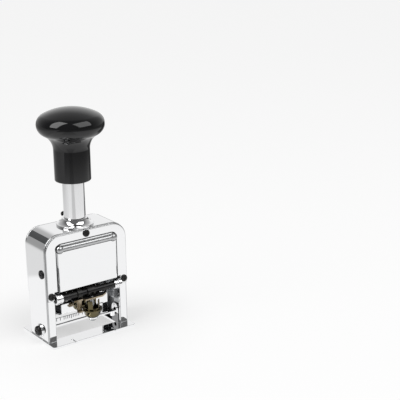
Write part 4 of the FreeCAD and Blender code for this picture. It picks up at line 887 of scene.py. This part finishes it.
spot = place.outputs["Object"]
reach = tree.nodes.new("ShaderNodeVectorMath")
reach.operation = "DISTANCE"
reach.inputs[1].default_value = (0, 0, 0)
tree.links.new(spot, reach.inputs[0])
away = reach.outputs["Value"]
OUTWARD = (1, 0, 0)
REARWARD = (-0.47, 0.88, 0)
front_level = combined(tree, "MULTIPLY", toward(tree, away, OUTWARD, 0.24, 0.31, 1.0, 0.85),
                       toward(tree, away, OUTWARD, 0.37, 0.55, 1.0, 0.22))
rear_level = toward(tree, spot, REARWARD, 0.17, 0.65, 0.78, 0.36)
rear_share = toward(tree, spot, REARWARD, 0.136, 0.148, 0.0, 1.0)
front_share = toward(tree, spot, REARWARD, 0.136, 0.148, 1.0, 0.0)
lit = combined(tree, "ADD", combined(tree, "MULTIPLY", front_level, front_share),
               combined(tree, "MULTIPLY", rear_level, rear_share))


def shaded(out, start, stop, left, right, depth):
    """The floor's light with a strip of shade across it that runs away from the machine."""
    side = (out[1], -out[0], 0)
    strip = combined(tree, "MULTIPLY", toward(tree, spot, side, left - 0.04, left, 0.0, 1.0),
                     toward(tree, spot, side, right, right + 0.04, 1.0, 0.0))
    shade = combined(tree, "MULTIPLY", strip, toward(tree, spot, out, start, stop, 0.0, depth))
    return combined(tree, "MULTIPLY", lit, combined(tree, "SUBTRACT", 1.0, shade))


lit = shaded((0.94, 0.34, 0), 0.16, 0.24, -0.08, 0.08, 0.85)
lit = shaded((-0.6, -0.8, 0), 0.1, 0.2, -0.07, 0.07, 0.3)
bright = combined(tree, "MAXIMUM", lit, path.outputs["Is Camera Ray"])
tree.links.new(bright, glow.inputs["Strength"])
mirrored = combined(tree, "MAXIMUM", path.outputs["Is Glossy Ray"], path.outputs["Is Transmission Ray"])
paleness = toward(tree, away, OUTWARD, 0.03, 0.11, 0.5, 0.86)
share = combined(tree, "ADD", combined(tree, "MULTIPLY", path.outputs["Is Camera Ray"], paleness),
                 combined(tree, "MULTIPLY", mirrored, 0.95))
tree.links.new(share, mix.inputs["Fac"])
tree.links.new(shader.outputs["BSDF"], mix.inputs[1])
tree.links.new(glow.outputs["Emission"], mix.inputs[2])
tree.links.new(mix.outputs["Shader"], tree.nodes["Material Output"].inputs["Surface"])
floor.data.materials.append(paper)

world = bpy.data.worlds.new("studio")
bpy.context.scene.world = world
world.use_nodes = True
tree = world.node_tree
back = tree.nodes["Background"]
sky = tree.nodes.new("ShaderNodeTexCoord")
way = sky.outputs["Generated"]
broad = toward(tree, way, (0.6, 0.78, -0.15), -0.3, 0.95, 0.13, 0.56)
narrow = toward(tree, way, (0.6, 0.78, 0.17), 0.8, 0.98, 0.0, 0.38)
room = combined(tree, "ADD", broad, narrow)
path = tree.nodes.new("ShaderNodeLightPath")
seen = combined(tree, "MAXIMUM", path.outputs["Is Camera Ray"], path.outputs["Is Transmission Ray"])
mirrored = combined(tree, "MULTIPLY", path.outputs["Is Glossy Ray"], room)
plain = combined(tree, "MULTIPLY", path.outputs["Is Diffuse Ray"], 0.34)
light = combined(tree, "MAXIMUM", seen, combined(tree, "ADD", mirrored, plain))
tree.links.new(light, back.inputs["Color"])
back.inputs["Strength"].default_value = 1.0


def soft_box(name, at, aim, size, power):
    """A soft box that points at a spot on the machine."""
    data = bpy.data.lights.new(name, "AREA")
    data.shape = "RECTANGLE"
    data.size, data.size_y = size
    data.energy = power
    lamp = bpy.data.objects.new(name, data)
    bpy.context.scene.collection.objects.link(lamp)
    lamp.location = at
    lamp.rotation_euler = (Vector(aim) - Vector(at)).to_track_quat("-Z", "Y").to_euler()


KNOB_AIM = (0, 0, 0.14)
soft_box("left_box", (-0.707, -0.012, 0.847), KNOB_AIM, (0.54, 1.15), 7.2)
soft_box("right_box", (0.286, -0.673, 0.822), KNOB_AIM, (0.85, 0.82), 5.0)

# Camera. It looks down on the machine from the front left, as in the photograph.

camera = bpy.data.objects.new("camera", bpy.data.cameras.new("camera"))
bpy.context.scene.collection.objects.link(camera)
aim = Euler((math.radians(90 - 16.999), 0, math.radians(-36.638))).to_matrix().to_4x4()
camera.matrix_world = (Matrix.Translation((-344.87 * mm, -612.06 * mm, 309.64 * mm)) @ aim
                       @ Matrix.Rotation(math.radians(-0.622), 4, "Z"))
camera.data.lens = 93.285
camera.data.sensor_width = 36.0
camera.data.clip_start = 0.01
bpy.context.scene.camera = camera
bpy.context.scene.view_settings.view_transform = "Standard"
